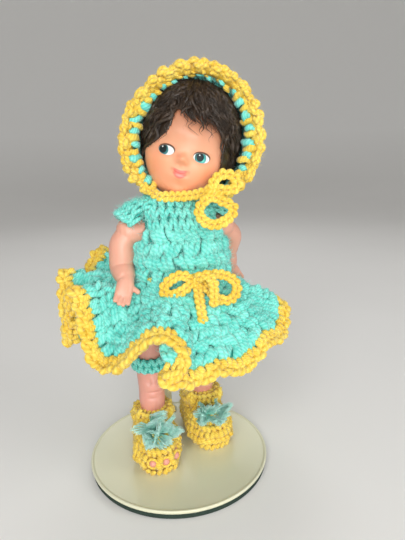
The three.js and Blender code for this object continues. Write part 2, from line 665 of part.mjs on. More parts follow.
// Crochet booties with a rolled cuff and a tuft of yarn
function bootie(side, stride) {
  const half = ANKLE_RADIUS + GAP + CUFF_RADIUS;
  const cuffRing = (t) => {
    const turn = 2 * Math.PI * t;
    return vec(LEG_CENTRE + half * Math.cos(turn), stride + (half + 0.2) * Math.sin(turn), BOOT_TOP);
  };
  const cuff = solid(ringTube(cuffRing, CUFF_RADIUS, 18, 6));
  const bore = THIGH_RADIUS - 0.1 + GAP;
  const ends = [BOOT_TOP - 2 * CUFF_RADIUS, BOOT_TOP + 2 * CUFF_RADIUS];
  const shaft = limb(ends.map((z) => [LEG_CENTRE, stride, z, bore, bore + 0.2]), 16);
  const boot = footForm(stride, GAP + BOOT_WALL, BOOT_TOP).add(cuff);
  const hollow = footForm(stride, GAP, BOOT_TOP).add(solid(shaft));
  return geometryOf(mirrored(boot.subtract(hollow), side));
}

function pompom(side, stride) {
  const tuft = ball(17.4, 9.6, 11, 0, 0, 0, 12, 8);
  const spots = tuft.attributes.position;
  for (let i = 0; i < spots.count; i++) {
    const p = vec(spots.getX(i), spots.getY(i), spots.getZ(i));
    p.multiplyScalar(1 + 0.12 * Math.sin(2.1 * p.x) * Math.cos(1.7 * p.z) + 0.06 * Math.sin(1.9 * p.y));
    spots.setXYZ(i, p.x, p.y, p.z);
  }
  tuft.translate(LEG_CENTRE, stride - ANKLE_RADIUS - 6.4, SOLE + 12.2);
  const boot = footForm(stride, 2 * GAP + BOOT_WALL, BOOT_TOP + 8);
  const r = ANKLE_RADIUS + 3 * GAP + 2 * CUFF_RADIUS;
  const tall = 2 * (CUFF_RADIUS + GAP);
  const cuff = new THREE.CylinderGeometry(r, r, tall, 20).rotateX(Math.PI / 2);
  cuff.translate(LEG_CENTRE, stride, BOOT_TOP);
  return geometryOf(mirrored(solid(tuft).subtract(boot).subtract(solid(cuff)), side));
}

// Bonnet, in the head's frame: a hood from the face opening to the back
const BONNET_HALF_WIDTH = HEAD_WIDTH / 2 + HAIR_DEPTH + BONNET_SLACK + BONNET_SHIFT;
const BONNET_HALF_HEIGHT = HEAD_HEIGHT / 2 + HAIR_DEPTH + BONNET_SLACK;
const BONNET_RISE = HEAD_RISE + HAIR_DEPTH / 2;
const BONNET_BACK = HEAD_DEPTH / 2 + HAIR_DEPTH + 3 * BONNET_SLACK;

function bonnetPoint(turn, back, grow) {
  const y = THREE.MathUtils.lerp(BONNET_FRONT, BONNET_BACK + grow, back);
  const round = Math.sqrt(1 - Math.max(0, (back - 0.25) / 0.75) ** 2);
  const flare = BONNET_FLARE * Math.max(0, 1 - back / 0.2) ** 2;
  const a = (BONNET_HALF_WIDTH + grow) * round + flare;
  const c = (BONNET_HALF_HEIGHT + grow) * round + flare;
  return vec(BONNET_SHIFT + a * Math.cos(turn), y, BONNET_RISE + c * Math.sin(turn));
}

function bonnet() {
  const turnAt = (u) => rad(THREE.MathUtils.lerp(BONNET_START_DEG, BONNET_END_DEG, u));
  const backAt = (v) => 0.985 * Math.sin(v * v * Math.PI / 4 + v * Math.PI / 4);
  const outer = (u, v) => bonnetPoint(turnAt(u), backAt(v), KNIT);
  const inner = (u, v) => bonnetPoint(turnAt(u), backAt(v), 0);
  return wall(outer, inner, 26, 6, false);
}

// The frill stands out from the bonnet's front edge and narrows to the chin
function bonnetEdging() {
  const point = (u, v, depth) => {
    const turn = rad(THREE.MathUtils.lerp(BONNET_START_DEG, BONNET_END_DEG, u));
    const ends = 0.35 + 0.65 * THREE.MathUtils.smoothstep(Math.min(u, 1 - u), 0, 0.12);
    const wave = RUFFLE_WAVE * (Math.sin(2 * Math.PI * RUFFLE_WAVES * u) - 1) * v;
    const out = BONNET_FLARE + ends * RUFFLE_WIDTH * v;
    const y = BONNET_FRONT - GAP - depth - Math.sin(Math.PI * v) + wave;
    const [a, c] = [BONNET_HALF_WIDTH + out, BONNET_HALF_HEIGHT + out];
    return vec(BONNET_SHIFT + a * Math.cos(turn), y, BONNET_RISE + c * Math.sin(turn));
  };
  return wall((u, v) => point(u, v, KNIT), (u, v) => point(u, v, 0), 3 * RUFFLE_WAVES, 2, false);
}

// Ties and bows: routes from the knot, in the head's frame and at the waist
const KNOT_SIZE = 4;
const CHIN_KNOT = [12, -16, 11];
const CHIN_TIE_RIGHT = [
  [-22.2, 6.8, -5], [-20.9, 5.6, -5.7], [-18.5, 4.2, -6.2], [-15, 3.2, -5.4],
  [-11, 2.6, -4.5], [-7, 1.8, -3.3], [-3.8, 0.6, -1.9], [-2.4, 0, -1],
];
const CHIN_TIE_LEFT = [[5.2, 6.8, -1], [4.6, 6.1, -1.6], [3.8, 4.8, -1.8], [1.4, 2.4, -0.7]];
const CHIN_UPPER_LOOP = [
  [0.2, 0, 2.75], [1, -0.1, 5], [3.8, -0.4, 7], [7.2, -0.7, 6.6], [9, -1, 4.2],
  [7.8, -1.2, 2.1], [5.2, -1.1, 1.3], [2.7, -0.8, 0.95],
];
const CHIN_LOWER_LOOP = [
  [-0.2, -1.2, -2.6], [-2.2, -2.2, -4.6], [-3.2, -2.8, -8], [-0.8, -2.8, -11.2], [3.4, -2.6, -12],
  [7.4, -2.4, -9.6], [9.6, -2, -5.8], [8.2, -1.8, -3.6], [5.4, -1.6, -3.1], [2.6, -1, -2.3],
];
const WAIST_KNOT = [4.4, -WAIST_HALF_DEPTH - 2 * GAP - KNOT_SIZE / 2, WAIST_HEIGHT + 0.4];
const WAIST_RIGHT_LOOP = [
  [-2.5, 0, 0.7], [-5.8, -0.2, 2.8], [-10, 0, 1.4], [-13, 0.2, -1.4], [-12.4, -0.2, -4],
  [-8.8, -0.8, -4.4], [-5, -1, -2.7], [-2.6, -0.7, -1],
];
const WAIST_LEFT_LOOP = [
  [2.5, 0, 0.7], [6.6, -0.6, 2], [12, -1.2, 1], [15.8, -1.8, -2.2], [15.4, -3, -6],
  [11.8, -4.2, -8.2], [7.4, -3.8, -7], [4.4, -2.2, -3.8], [2.5, -1, -1.6],
];
const WAIST_LONG_TAIL = [
  [0, -1.4, -2.5], [-0.1, -3, -4.8], [-0.4, -5, -7.2], [-0.6, -7.2, -10], [-0.8, -9.4, -13],
];
const WAIST_SHORT_TAIL = [
  [0.2, -2.1, 1.5], [1.6, -3.4, 2.6], [3.8, -4.4, 2.4], [5.2, -5.2, -0.6], [5, -6.2, -4], [4.6, -7.2, -7.6],
];

const from = (knotAt, route) => route.map((p) => p.map((value, i) => value + knotAt[i]));

function knot(at) {
  return weld(ball(KNOT_SIZE, KNOT_SIZE, KNOT_SIZE, ...at, 10, 6));
}

// The tie is threaded between bodice and skirt
function waistTie() {
  const inside = CORD_RADIUS;
  return ringTube((t) => {
    const turn = 2 * Math.PI * t;
    const x = WAIST_SHIFT + (WAIST_HALF_WIDTH - inside) * Math.cos(turn);
    return vec(x, (WAIST_HALF_DEPTH - inside) * Math.sin(turn), WAIST_HEIGHT - 2 * GAP);
  }, CORD_RADIUS, 32, 6);
}

// Bodice: crochet top with a neck opening, armholes and small cap sleeves
const BODICE_SECTIONS = [
  // height, shift to the side, half width, half depth, fall to the left per mm
  [WAIST_HEIGHT + CORD_RADIUS, WAIST_SHIFT, WAIST_HALF_WIDTH, WAIST_HALF_DEPTH, 0],
  [WAIST_HEIGHT + 5, WAIST_SHIFT, WAIST_HALF_WIDTH, WAIST_HALF_DEPTH, 0],
  [SHOULDER_HEIGHT - 6, 3.2, 18.5, 14.2, 0],
  [SHOULDER_HEIGHT - 0.5, 2.4, SHOULDER_SEAT + 4.2, 13.4, 0],
  [SHOULDER_HEIGHT + 4, 2.3, SHOULDER_SEAT + 3.6, 12.6, 0],
  [SHOULDER_HEIGHT + 7.6, 2.2, SHOULDER_SEAT + 1.8, 12, 0.05],
  [SHOULDER_HEIGHT + 10.4, 2, 12.8, 11.4, 0.1],
  [NECK_HEIGHT + 3.6, 2, 10.8, 10.4, 0.13],
];

function bodice() {
  const form = (grow, extra) => loft(BODICE_SECTIONS.map(([z, x, a, b, fall], k) => {
    const end = k === 0 ? -extra : k === BODICE_SECTIONS.length - 1 ? extra : 0;
    const ring = levelRing(x, 0, z + end, a + grow, b + grow, 22);
    return ring.map((p) => p.setZ(p.z - fall * (p.x - x)));
  }));
  let top = solid(form(0, 0)).subtract(solid(form(-KNIT, 1)));
  const place = [lean(SHOULDER_HEIGHT), 0, SHOULDER_HEIGHT];
  const r = SHOULDER_RADIUS + 2 * GAP;
  const reach = 3 * SHOULDER_SEAT;
  const hole = solid(turnedOnX([[0, SHOULDER_SEAT / 2], [r, SHOULDER_SEAT / 2], [r, reach], [0, reach]], 20));
  for (const side of [-1, 1]) {
    top = top.add(mirrored(solid(sleeveCap()), side).translate(place));
    top = top.subtract(mirrored(hole, side).translate(place));
  }
  return geometryOf(top);
}

// A cap over the top of the shoulder, left side, from the shoulder joint
function sleeveCap() {
  const inside = SHOULDER_SEAT - 0.6;
  const spread = rad(60);
  const point = (u, v, grow) => {
    const turn = THREE.MathUtils.lerp(-spread, spread, u);
    const r = SHOULDER_RADIUS + 1.5 * GAP + grow;
    const edge = 1 - 0.4 * (2 * u - 1) ** 2;
    return vec(inside + CAP_REACH * v * edge, r * Math.sin(turn), r * Math.cos(turn) - 0.3 * v * v * grow);
  };
  return wall((u, v) => point(u, v, KNIT), (u, v) => point(u, v, 0), 10, 3, false);
}

// A small button closes the dress at the back
function backButton() {
  const [z, x, , depth] = BODICE_SECTIONS[2];
  const r = BUTTON_RADIUS;
  const face = turnedOnZ([[0, 0], [0.85 * r, 0], [r, 0.5], [0.9 * r, 1.1], [0.6 * r, 0.9], [0, 0.9]], 16);
  return weld(face.rotateX(-Math.PI / 2).translate(x, depth + GAP, z));
}

// Skirt: points of the edging's rim are [azimuth, radius, rise from the waist],
// with the front at -90 and the doll's left at 0
const HEM = [
  [-150, 42, -29], [-138, 41, -28], [-127, 40, -23], [-117, 38.5, -16], [-109, 39, -22.5], [-102, 40, -31],
  [-94, 40, -32.2], [-86, 40.5, -29], [-77, 40, -30.4], [-68, 40.5, -31.2], [-58, 41, -28.4], [-47, 42, -25],
  [-36, 44, -26.6], [-25, 46, -25], [-14, 47.4, -17.4], [-2, 46, -20], [10, 45, -28.4], [24, 45, -27.6],
  [38, 44, -29], [52, 44, -22], [66, 44, -16], [80, 43, -20], [94, 43, -14], [108, 42, -4], [121, 41, 0],
  [134, 41.5, 7.4], [146, 43.5, -1], [155, 46, -11.6], [163, 47.4, -4], [170, 48, 2.6], [177, 47.6, -5],
  [182, 46.6, -14], [187, 45.6, -6], [192, 45, -1], [198, 44.4, -11], [204, 43.4, -23],
];
const SKIRT_X = 1.5;
const SKIRT_START = 2 * CORD_RADIUS + 1;
const HEM_STEPS = 2;

// A smooth closed curve through the hem points
function hemAt(t) {
  const n = HEM.length;
  const spot = (((t % 1) + 1) % 1) * n;
  const k = Math.floor(spot);
  const f = spot - k;
  const pick = (i) => {
    const [turn, r, z] = HEM[((i % n) + n) % n];
    return [turn + 360 * Math.floor(i / n), r, z];
  };
  const [p0, p1, p2, p3] = [pick(k - 1), pick(k), pick(k + 1), pick(k + 2)];
  return p1.map((value, c) => {
    const [leave, arrive] = [(p2[c] - p0[c]) / 2, (p3[c] - value) / 2];
    const ease = f * f * (3 - 2 * f);
    return value + ease * (p2[c] - value) + f * (1 - f) * ((1 - f) * leave - f * arrive);
  });
}

function skirtPoint(t, down) {
  const [turnDeg, r, rise] = hemAt(t);
  const turn = rad(turnDeg);
  const top = WAIST_HEIGHT - SKIRT_START;
  const [a, b] = [WAIST_HALF_WIDTH - KNIT / 2, WAIST_HALF_DEPTH - KNIT / 2];
  const start = vec(WAIST_SHIFT + a * Math.cos(turn), b * Math.sin(turn), top);
  const hem = vec(SKIRT_X + r * Math.cos(turn), r * Math.sin(turn), WAIST_HEIGHT + rise);
  const share = 1 - (2 * EDGING_RADIUS + 3 * GAP) / start.distanceTo(hem);
  return start.lerp(hem, down * share);
}

function skirtNormal(t, down) {
  const du = skirtPoint(t + 0.002, down).sub(skirtPoint(t - 0.002, down));
  const dv = skirtPoint(t, down + 0.02).sub(skirtPoint(t, down - 0.02));
  return dv.cross(du).normalize();
}

function skirt() {
  const face = (u, v, half) => skirtPoint(u, v).addScaledVector(skirtNormal(u, v), half);
  const half = SKIRT_KNIT / 2;
  return wall((u, v) => face(u, v, half), (u, v) => face(u, v, -half), HEM_STEPS * HEM.length, 4, true);
}

function skirtEdging() {
  const out = EDGING_RADIUS + 3 * GAP;
  return ringTube((t) => {
    const edge = skirtPoint(t, 1);
    const way = edge.clone().sub(skirtPoint(t, 0.94)).normalize();
    return edge.addScaledVector(way, out);
  }, EDGING_RADIUS, HEM_STEPS * HEM.length, 5);
}

// Knickers: a brief round the hips with a gusset, and a leg band on each thigh
function brief() {
  const band = (grow) => (u, v) => {
    const turn = 2 * Math.PI * u;
    const z = HIP_HEIGHT + BRIEF_HEIGHT * v;
    const tuck = 1 - 0.05 * v;
    const [a, b] = [(BRIEF_HALF_WIDTH + grow) * tuck, BRIEF_HALF_DEPTH + grow];
    return vec(a * Math.cos(turn), b * Math.sin(turn), z);
  };
  const ring = solid(wall(band(KNICKER_KNIT), band(0), 32, 2, true));
  const half = HIP_SEAT - 1.4;
  const depth = BRIEF_HALF_DEPTH + KNICKER_KNIT / 2;
  const low = TORSO_SECTIONS[0][0] - 2 * GAP;
  const high = HIP_HEIGHT + 2;
  const strap = new THREE.Shape();
  strap.moveTo(-depth, high);
  strap.bezierCurveTo(-depth, low - 2, -depth / 2, low - KNICKER_KNIT, 0, low - KNICKER_KNIT);
  strap.bezierCurveTo(depth / 2, low - KNICKER_KNIT, depth, low - 2, depth, high);
  strap.lineTo(depth - KNICKER_KNIT, high);
  strap.bezierCurveTo(depth - KNICKER_KNIT, low + 0.4, depth / 2, low, 0, low);
  strap.bezierCurveTo(-depth / 2, low, KNICKER_KNIT - depth, low + 0.4, KNICKER_KNIT - depth, high);
  const gusset = new THREE.ExtrudeGeometry(strap, { depth: 2 * half, bevelEnabled: false, curveSegments: 6 });
  gusset.rotateX(Math.PI / 2).rotateZ(Math.PI / 2).translate(-half, 0, 0);
  const clear = solid(torsoForm(TORSO_SECTIONS, 2 * GAP, 20));
  return geometryOf(ring.add(solid(gusset)).subtract(clear));
}

function knickerLeg(side, stride) {
  const top = HIP_HEIGHT - 14;
  const band = (grow) => (u, v) => {
    const turn = 2 * Math.PI * u;
    const z = top - KNICKER_LEG * v;
    const y = stride * (HIP_HEIGHT - z) / (HIP_HEIGHT - BOOT_TOP);
    const r = THIGH_RADIUS + GAP + grow + 0.3 * v;
    return vec(LEG_CENTRE + r * Math.cos(turn), y + (r + 0.5) * Math.sin(turn), z);
  };
  return geometryOf(mirrored(solid(wall(band(KNICKER_KNIT), band(0), 20, 2, true)), side));
}

// Finishes
const enamel = () => material(COLOURS.enamel, 0.35);
const vinyl = () => material(COLOURS.skin, 0.42);
const aqua = () => material(COLOURS.aqua, 0.95);
const yellow = () => material(COLOURS.yellow, 0.95);

// Assembly
const doll = new THREE.Group();
doll.position.set(DOLL_X, DOLL_Y, DISC_TOP);

const headGroup = new THREE.Group();
headGroup.position.copy(neckPoint());
headGroup.quaternion.copy(neckTurn());
headGroup.add(
  part('head', head(), vinyl()),
  part('hair', hair(), material(COLOURS.hair, 0.6)),
  part('bonnet', bonnet(), aqua()),
  part('bonnet_edging', bonnetEdging(), yellow()),
  part('chin_tie_right', cord(from(CHIN_KNOT, CHIN_TIE_RIGHT), CORD_RADIUS, 14), yellow()),
  part('chin_tie_left', cord(from(CHIN_KNOT, CHIN_TIE_LEFT), CORD_RADIUS, 6), yellow()),
  part('chin_bow_knot', knot(CHIN_KNOT), yellow()),
  part('chin_bow_upper_loop', cord(from(CHIN_KNOT, CHIN_UPPER_LOOP), CORD_RADIUS, 14), yellow()),
  part('chin_bow_lower_loop', cord(from(CHIN_KNOT, CHIN_LOWER_LOOP), CORD_RADIUS, 18), yellow()),
);

for (const [name, side, bend] of [['right', -1, RIGHT_ARM], ['left', 1, LEFT_ARM]]) {
  const shoulder = new THREE.Group();
  shoulder.position.set(lean(SHOULDER_HEIGHT), 0, SHOULDER_HEIGHT);
  shoulder.add(part(`${name}_arm`, arm(side, bend), vinyl()));
  doll.add(shoulder);
}

for (const [name, side, stride] of [['right', -1, RIGHT_STRIDE], ['left', 1, LEFT_STRIDE]]) {
  doll.add(
    part(`${name}_leg`, leg(side, stride), vinyl()),
    part(`${name}_knicker_leg`, knickerLeg(side, stride), aqua()),
    part(`${name}_bootie`, bootie(side, stride), yellow()),
    part(`${name}_pompom`, pompom(side, stride), aqua()),
  );
}

doll.add(
  headGroup,
  part('torso', torso(), vinyl()),
  part('bodice', bodice(), aqua()),
  part('back_button', backButton(), aqua()),
  part('skirt', skirt(), aqua()),
  part('skirt_edging', skirtEdging(), yellow()),
  part('knickers', brief(), aqua()),
  part('waist_tie', waistTie(), yellow()),
  part('waist_bow_knot', knot(WAIST_KNOT), yellow()),
  part('waist_bow_right_loop', cord(from(WAIST_KNOT, WAIST_RIGHT_LOOP), CORD_RADIUS, 16), yellow()),
  part('waist_bow_left_loop', cord(from(WAIST_KNOT, WAIST_LEFT_LOOP), CORD_RADIUS, 18), yellow()),
  part('waist_bow_long_tail', cord(from(WAIST_KNOT, WAIST_LONG_TAIL), CORD_RADIUS, 8), yellow()),
  part('waist_bow_short_tail', cord(from(WAIST_KNOT, WAIST_SHORT_TAIL), CORD_RADIUS, 8), yellow()),
);

const support = new THREE.Group();
support.position.copy(doll.position);
support.add(part('stand_post', standPost(), enamel()), part('waist_cradle', waistCradle(), enamel()));

const model = new THREE.Group();
model.add(
  part('base_pad', basePad(), material(COLOURS.felt, 1)),
  part('base_disc', baseDisc(), enamel()),
  support,
  doll,
);

export default model;
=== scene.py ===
import bpy
import math
import numpy as np
from mathutils import Matrix, Vector


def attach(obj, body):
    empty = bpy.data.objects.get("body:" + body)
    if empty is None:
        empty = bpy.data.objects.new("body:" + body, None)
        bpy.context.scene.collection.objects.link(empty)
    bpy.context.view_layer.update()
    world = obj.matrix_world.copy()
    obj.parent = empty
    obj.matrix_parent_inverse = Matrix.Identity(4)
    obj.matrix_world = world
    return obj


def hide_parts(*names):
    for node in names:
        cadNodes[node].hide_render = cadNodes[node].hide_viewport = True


# A small vinyl doll in a crochet outfit on a display stand.
# Lengths are worked out in millimetres and turned into metres when a mesh is made.

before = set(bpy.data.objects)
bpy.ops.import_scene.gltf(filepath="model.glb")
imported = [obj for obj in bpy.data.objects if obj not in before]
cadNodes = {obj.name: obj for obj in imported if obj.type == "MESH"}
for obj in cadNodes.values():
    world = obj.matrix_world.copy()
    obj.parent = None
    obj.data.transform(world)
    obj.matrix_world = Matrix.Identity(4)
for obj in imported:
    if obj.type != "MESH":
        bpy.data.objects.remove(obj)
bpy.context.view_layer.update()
scene = bpy.context.scene
mm = 0.001
gap = 0.3

doll = {
    "at": np.array([2.5, 9.0, 3.3]),  # middle of the doll on the stand's disc
    "leanDeg": 3.0,
    "hip": 57.0,
    "shoulder": 96.0,
    "neck": 103.4,
    "neckJoint": 105.0,
    "neckBack": 1.0,
    "headTurnDeg": -18.0,
    "headTiltDeg": 12.5,
}


def leanAt(z):
    return math.tan(math.radians(doll["leanDeg"])) * max(0.0, z - doll["hip"])


def headMatrix():
    turn = Matrix.Rotation(math.radians(doll["headTurnDeg"]), 3, "Z")
    tilt = Matrix.Rotation(math.radians(doll["headTiltDeg"]), 3, "Y")
    return np.array(turn @ tilt)


headTurn = headMatrix()
headAt = doll["at"] + np.array([leanAt(doll["neck"]), doll["neckBack"], doll["neck"]])
shoulderAt = doll["at"] + np.array([leanAt(doll["shoulder"]), 0.0, doll["shoulder"]])


def fromHead(points):
    return np.asarray(points) @ headTurn.T + headAt


def fromDoll(points):
    return np.asarray(points) + doll["at"]


# Mesh making: a shell collects corners, faces and the UV of each face corner

def newShell():
    return {"verts": [], "faces": [], "uvs": [], "count": 0}


def addFaces(shell, verts, faces, uvs):
    start = shell["count"]
    shell["verts"].append(np.asarray(verts, float))
    shell["faces"] += [[i + start for i in face] for face in faces]
    shell["uvs"] += uvs
    shell["count"] += len(verts)


def keepFaces(shell, keep):
    shell["uvs"] = [shell["uvs"][4 * k + corner] for k in keep for corner in range(4)]
    shell["faces"] = [shell["faces"][k] for k in keep]


def unit(rows):
    return rows / np.maximum(np.linalg.norm(rows, axis=-1, keepdims=True), 1e-9)


def runOf(path):
    return np.concatenate([[0], np.cumsum(np.linalg.norm(np.diff(path, axis=0), axis=1))])


def fullTurn(count):
    return 2 * np.pi * np.arange(count) / count


def turnOf(share):
    return 2 * np.pi * np.asarray(share, float)


def ovalRing(turn, a, b, z, x=0.0, y=0.0):
    return np.stack([x + a * np.cos(turn), y + b * np.sin(turn), z + 0 * turn], -1)


def smoothPath(points, count, closed=False):
    points = np.asarray(points, float)
    n = len(points)
    spots = np.linspace(0, n, count, endpoint=False) if closed else np.linspace(0, n - 1, count)
    out = []
    for s in spots:
        k = min(int(s), n - 1 if closed else n - 2)
        f = s - k
        pick = [(k + j) % n if closed else min(max(k + j, 0), n - 1) for j in (-1, 0, 1, 2)]
        a, b, c, d = (points[i] for i in pick)
        curve = (2 * a - 5 * b + 4 * c - d) * f * f + (3 * b - a - 3 * c + d) * f ** 3
        out.append(0.5 * (2 * b + (c - a) * f + curve))
    return np.array(out)


def addStrand(shell, path, radius, sides=6, flat=1.0, closed=False):
    path = np.asarray(path, float)
    count = len(path)
    radius = np.broadcast_to(np.asarray(radius, float), (count,))
    along = unit(np.roll(path, -1, 0) - np.roll(path, 1, 0) if closed else np.gradient(path, axis=0))
    side = np.zeros_like(path)
    start = np.array([0.0, 0.0, 1.0]) if abs(along[0][2]) < 0.9 else np.array([1.0, 0.0, 0.0])
    for i in range(count):
        last = start if i == 0 else side[i - 1]
        side[i] = unit(last - along[i] * (last @ along[i]))
    lift = np.cross(along, side)
    turn = fullTurn(sides)[None, :, None]
    ring = side[:, None] * np.cos(turn) + flat * lift[:, None] * np.sin(turn)
    verts = (path[:, None] + ring * radius[:, None, None]).reshape(-1, 3)
    run = runOf(path)
    faces = []
    uvs = []
    for i in range(count if closed else count - 1):
        j = (i + 1) % count
        va, vb = run[i], run[i + 1] if i + 1 < count else run[i] + np.linalg.norm(path[0] - path[-1])
        for k in range(sides):
            n = (k + 1) % sides
            faces.append([i * sides + k, i * sides + n, j * sides + n, j * sides + k])
            ua, ub = k / sides, (k + 1) / sides
            uvs += [(ua, va), (ub, va), (ub, vb), (ua, vb)]
    if not closed:
        faces.append(list(range(sides - 1, -1, -1)))
        faces.append([(count - 1) * sides + k for k in range(sides)])
        uvs += [(0.5, run[0])] * sides + [(0.5, run[-1])] * sides
    addFaces(shell, verts, faces, uvs)


def addGrid(shell, points, closed=False, flip=False):
    nu, nv = points.shape[:2]
    faces = []
    uvs = []
    for i in range(nu if closed else nu - 1):
        for j in range(nv - 1):
            a, b = i * nv + j, ((i + 1) % nu) * nv + j
            quad = [a, b, b + 1, a + 1]
            spot = [(i, j), (i + 1, j), (i + 1, j + 1), (i, j + 1)]
            faces.append(quad[::-1] if flip else quad)
            uvs += [(x / nu, y / (nv - 1)) for x, y in (spot[::-1] if flip else spot)]
    addFaces(shell, points.reshape(-1, 3), faces, uvs)


def addLathe(shell, profile, segments, rise=0.0):
    turn = fullTurn(segments)
    addGrid(shell, np.stack([ovalRing(turn, r, r, z + rise) for r, z in profile], 1), closed=True)


def addRound(shell, rings, place, flip=False):
    addGrid(shell, place(rings.reshape(-1, 3)).reshape(rings.shape), closed=True, flip=flip)


def linkPiece(name, data):
    piece = bpy.data.objects.new(name, data)
    scene.collection.objects.link(piece)
    return piece


def smoothFaces(mesh):
    mesh.polygons.foreach_set("use_smooth", [True] * len(mesh.polygons))


def makePiece(name, shell, material):
    mesh = bpy.data.meshes.new(name)
    mesh.from_pydata((np.concatenate(shell["verts"]) * mm).tolist(), [], shell["faces"])
    layer = mesh.uv_layers.new(name="UVMap")
    layer.data.foreach_set("uv", np.array(shell["uvs"], np.float32).ravel())
    smoothFaces(mesh)
    mesh.materials.append(material)
    mesh.update()
    return linkPiece(name, mesh)


def readSpots(mesh):
    spots = np.zeros(len(mesh.vertices) * 3)
    mesh.vertices.foreach_get("co", spots)
    return spots.reshape(-1, 3) / mm


def writeSpots(mesh, spots):
    mesh.vertices.foreach_set("co", (spots * mm).ravel())
    mesh.update()


def normalsOf(mesh):
    return np.array([v.normal for v in mesh.vertices])


def paintNode(name, material):
    cadNodes[name].data.materials.clear()
    cadNodes[name].data.materials.append(material)


def bakeModifiers(piece):
    graph = bpy.context.evaluated_depsgraph_get()
    shown = piece.evaluated_get(graph)
    mesh = bpy.data.meshes.new_from_object(shown, preserve_all_data_layers=True, depsgraph=graph)
    old = piece.data
    piece.modifiers.clear()
    piece.data = mesh
    mesh.name = piece.name
    bpy.data.meshes.remove(old)
    return piece


def thicken(piece, thickness, offset=0):
    thick = piece.modifiers.new("thickness", "SOLIDIFY")
    thick.thickness = thickness * mm
    thick.offset = offset
    return bakeModifiers(piece)


def meltTogether(piece, voxel, rounds):
    remesh = piece.modifiers.new("melt", "REMESH")
    remesh.mode = "VOXEL"
    remesh.voxel_size = voxel * mm
    remesh.use_smooth_shade = True
    soften = piece.modifiers.new("soften", "SMOOTH")
    soften.iterations = rounds
    soften.factor = 0.5
    material = piece.data.materials[0]
    bakeModifiers(piece)
    if not piece.data.materials:
        piece.data.materials.append(material)
    smoothFaces(piece.data)
    return piece


def dress(piece, body, slot, *replaced):
    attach(piece, body)
    if replaced:
        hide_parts(*replaced)
    return piece


# Shader nodes

def addNode(tree, kind, inputs=None, **settings):
    made = tree.nodes.new(kind)
    for key, value in settings.items():
        setattr(made, key, value)
    for key, value in (inputs or {}).items():
        if isinstance(value, bpy.types.NodeSocket):
            tree.links.new(value, made.inputs[key])
        else:
            made.inputs[key].default_value = value
    return made


def calc(tree, operation, a, b=0.0, c=0.0):
    return addNode(tree, "ShaderNodeMath", {0: a, 1: b, 2: c}, operation=operation).outputs[0]


def mixColour(tree, share, a, b):
    return addNode(tree, "ShaderNodeMix", {0: share, 6: a, 7: b}, data_type="RGBA").outputs[2]


def weighted(tree, a, shareA, b, shareB):
    return calc(tree, "ADD", calc(tree, "MULTIPLY", a, shareA), calc(tree, "MULTIPLY", b, shareB))


def ramp(tree, value, low, high, **settings):
    inputs = {"Value": value, "From Min": low, "From Max": high}
    return addNode(tree, "ShaderNodeMapRange", inputs, **settings).outputs[0]


def newMaterial(name, roughness, settings=None):
    made = bpy.data.materials.new(name)
    made.use_nodes = True
    shader = made.node_tree.nodes["Principled BSDF"]
    for key, value in {"Roughness": roughness, **(settings or {})}.items():
        shader.inputs[key].default_value = value
    return made, made.node_tree, shader


def setColour(tree, shader, colour):
    tree.links.new(colour, shader.inputs["Base Color"])


def textureSpots(tree):
    spot = addNode(tree, "ShaderNodeTexCoord").outputs
    uv = addNode(tree, "ShaderNodeSeparateXYZ", {0: spot["UV"]}).outputs
    return spot["Object"], uv[0], uv[1]


def noise(tree, spot, scale, detail=3.0):
    inputs = {"Vector": spot, "Scale": scale, "Detail": detail}
    return addNode(tree, "ShaderNodeTexNoise", inputs).outputs["Fac"]


def bump(tree, shader, height, strength, distance):
    inputs = {"Height": height, "Strength": strength, "Distance": distance * mm}
    made = addNode(tree, "ShaderNodeBump", inputs)
    tree.links.new(made.outputs["Normal"], shader.inputs["Normal"])


def yarnFinish(name, low, high, sheen):
    made, tree, shader = newMaterial(name, 0.88, {
        "Sheen Weight": sheen, "Sheen Roughness": 0.45, "Specular IOR Level": 0.2})
    spot, u, v = textureSpots(tree)
    patches = noise(tree, spot, 160.0, 2.0)
    fibres = noise(tree, spot, 1500.0, 4.0)
    twist = calc(tree, "MULTIPLY_ADD", v, 4.2, calc(tree, "MULTIPLY", u, 12.566))
    ply = calc(tree, "MULTIPLY_ADD", calc(tree, "SINE", twist), 0.5, 0.5)  # plies laid round the strand
    # The ply term also darkens the colour in the grooves between the plies: painted shade.
    share = ramp(tree, weighted(tree, patches, 0.75, ply, 0.28), 0.3, 0.75)
    setColour(tree, shader, mixColour(tree, share, low, high))
    bump(tree, shader, weighted(tree, ply, 0.7, fibres, 0.6), 0.4, 0.35)
    return made


def softSkin(weight, scale):
    return {"Subsurface Weight": weight, "Subsurface Radius": (1.0, 0.35, 0.2), "Subsurface Scale": scale}


def skinFinish(name, colour, blush):
    made, tree, shader = newMaterial(name, 0.36, softSkin(0.12, 0.0012))
    spot = textureSpots(tree)[0]
    share = calc(tree, "MULTIPLY", noise(tree, spot, 70.0, 2.0), 0.8)
    setColour(tree, shader, mixColour(tree, share, colour, blush))
    bump(tree, shader, noise(tree, spot, 900.0), 0.05, 0.2)
    return made
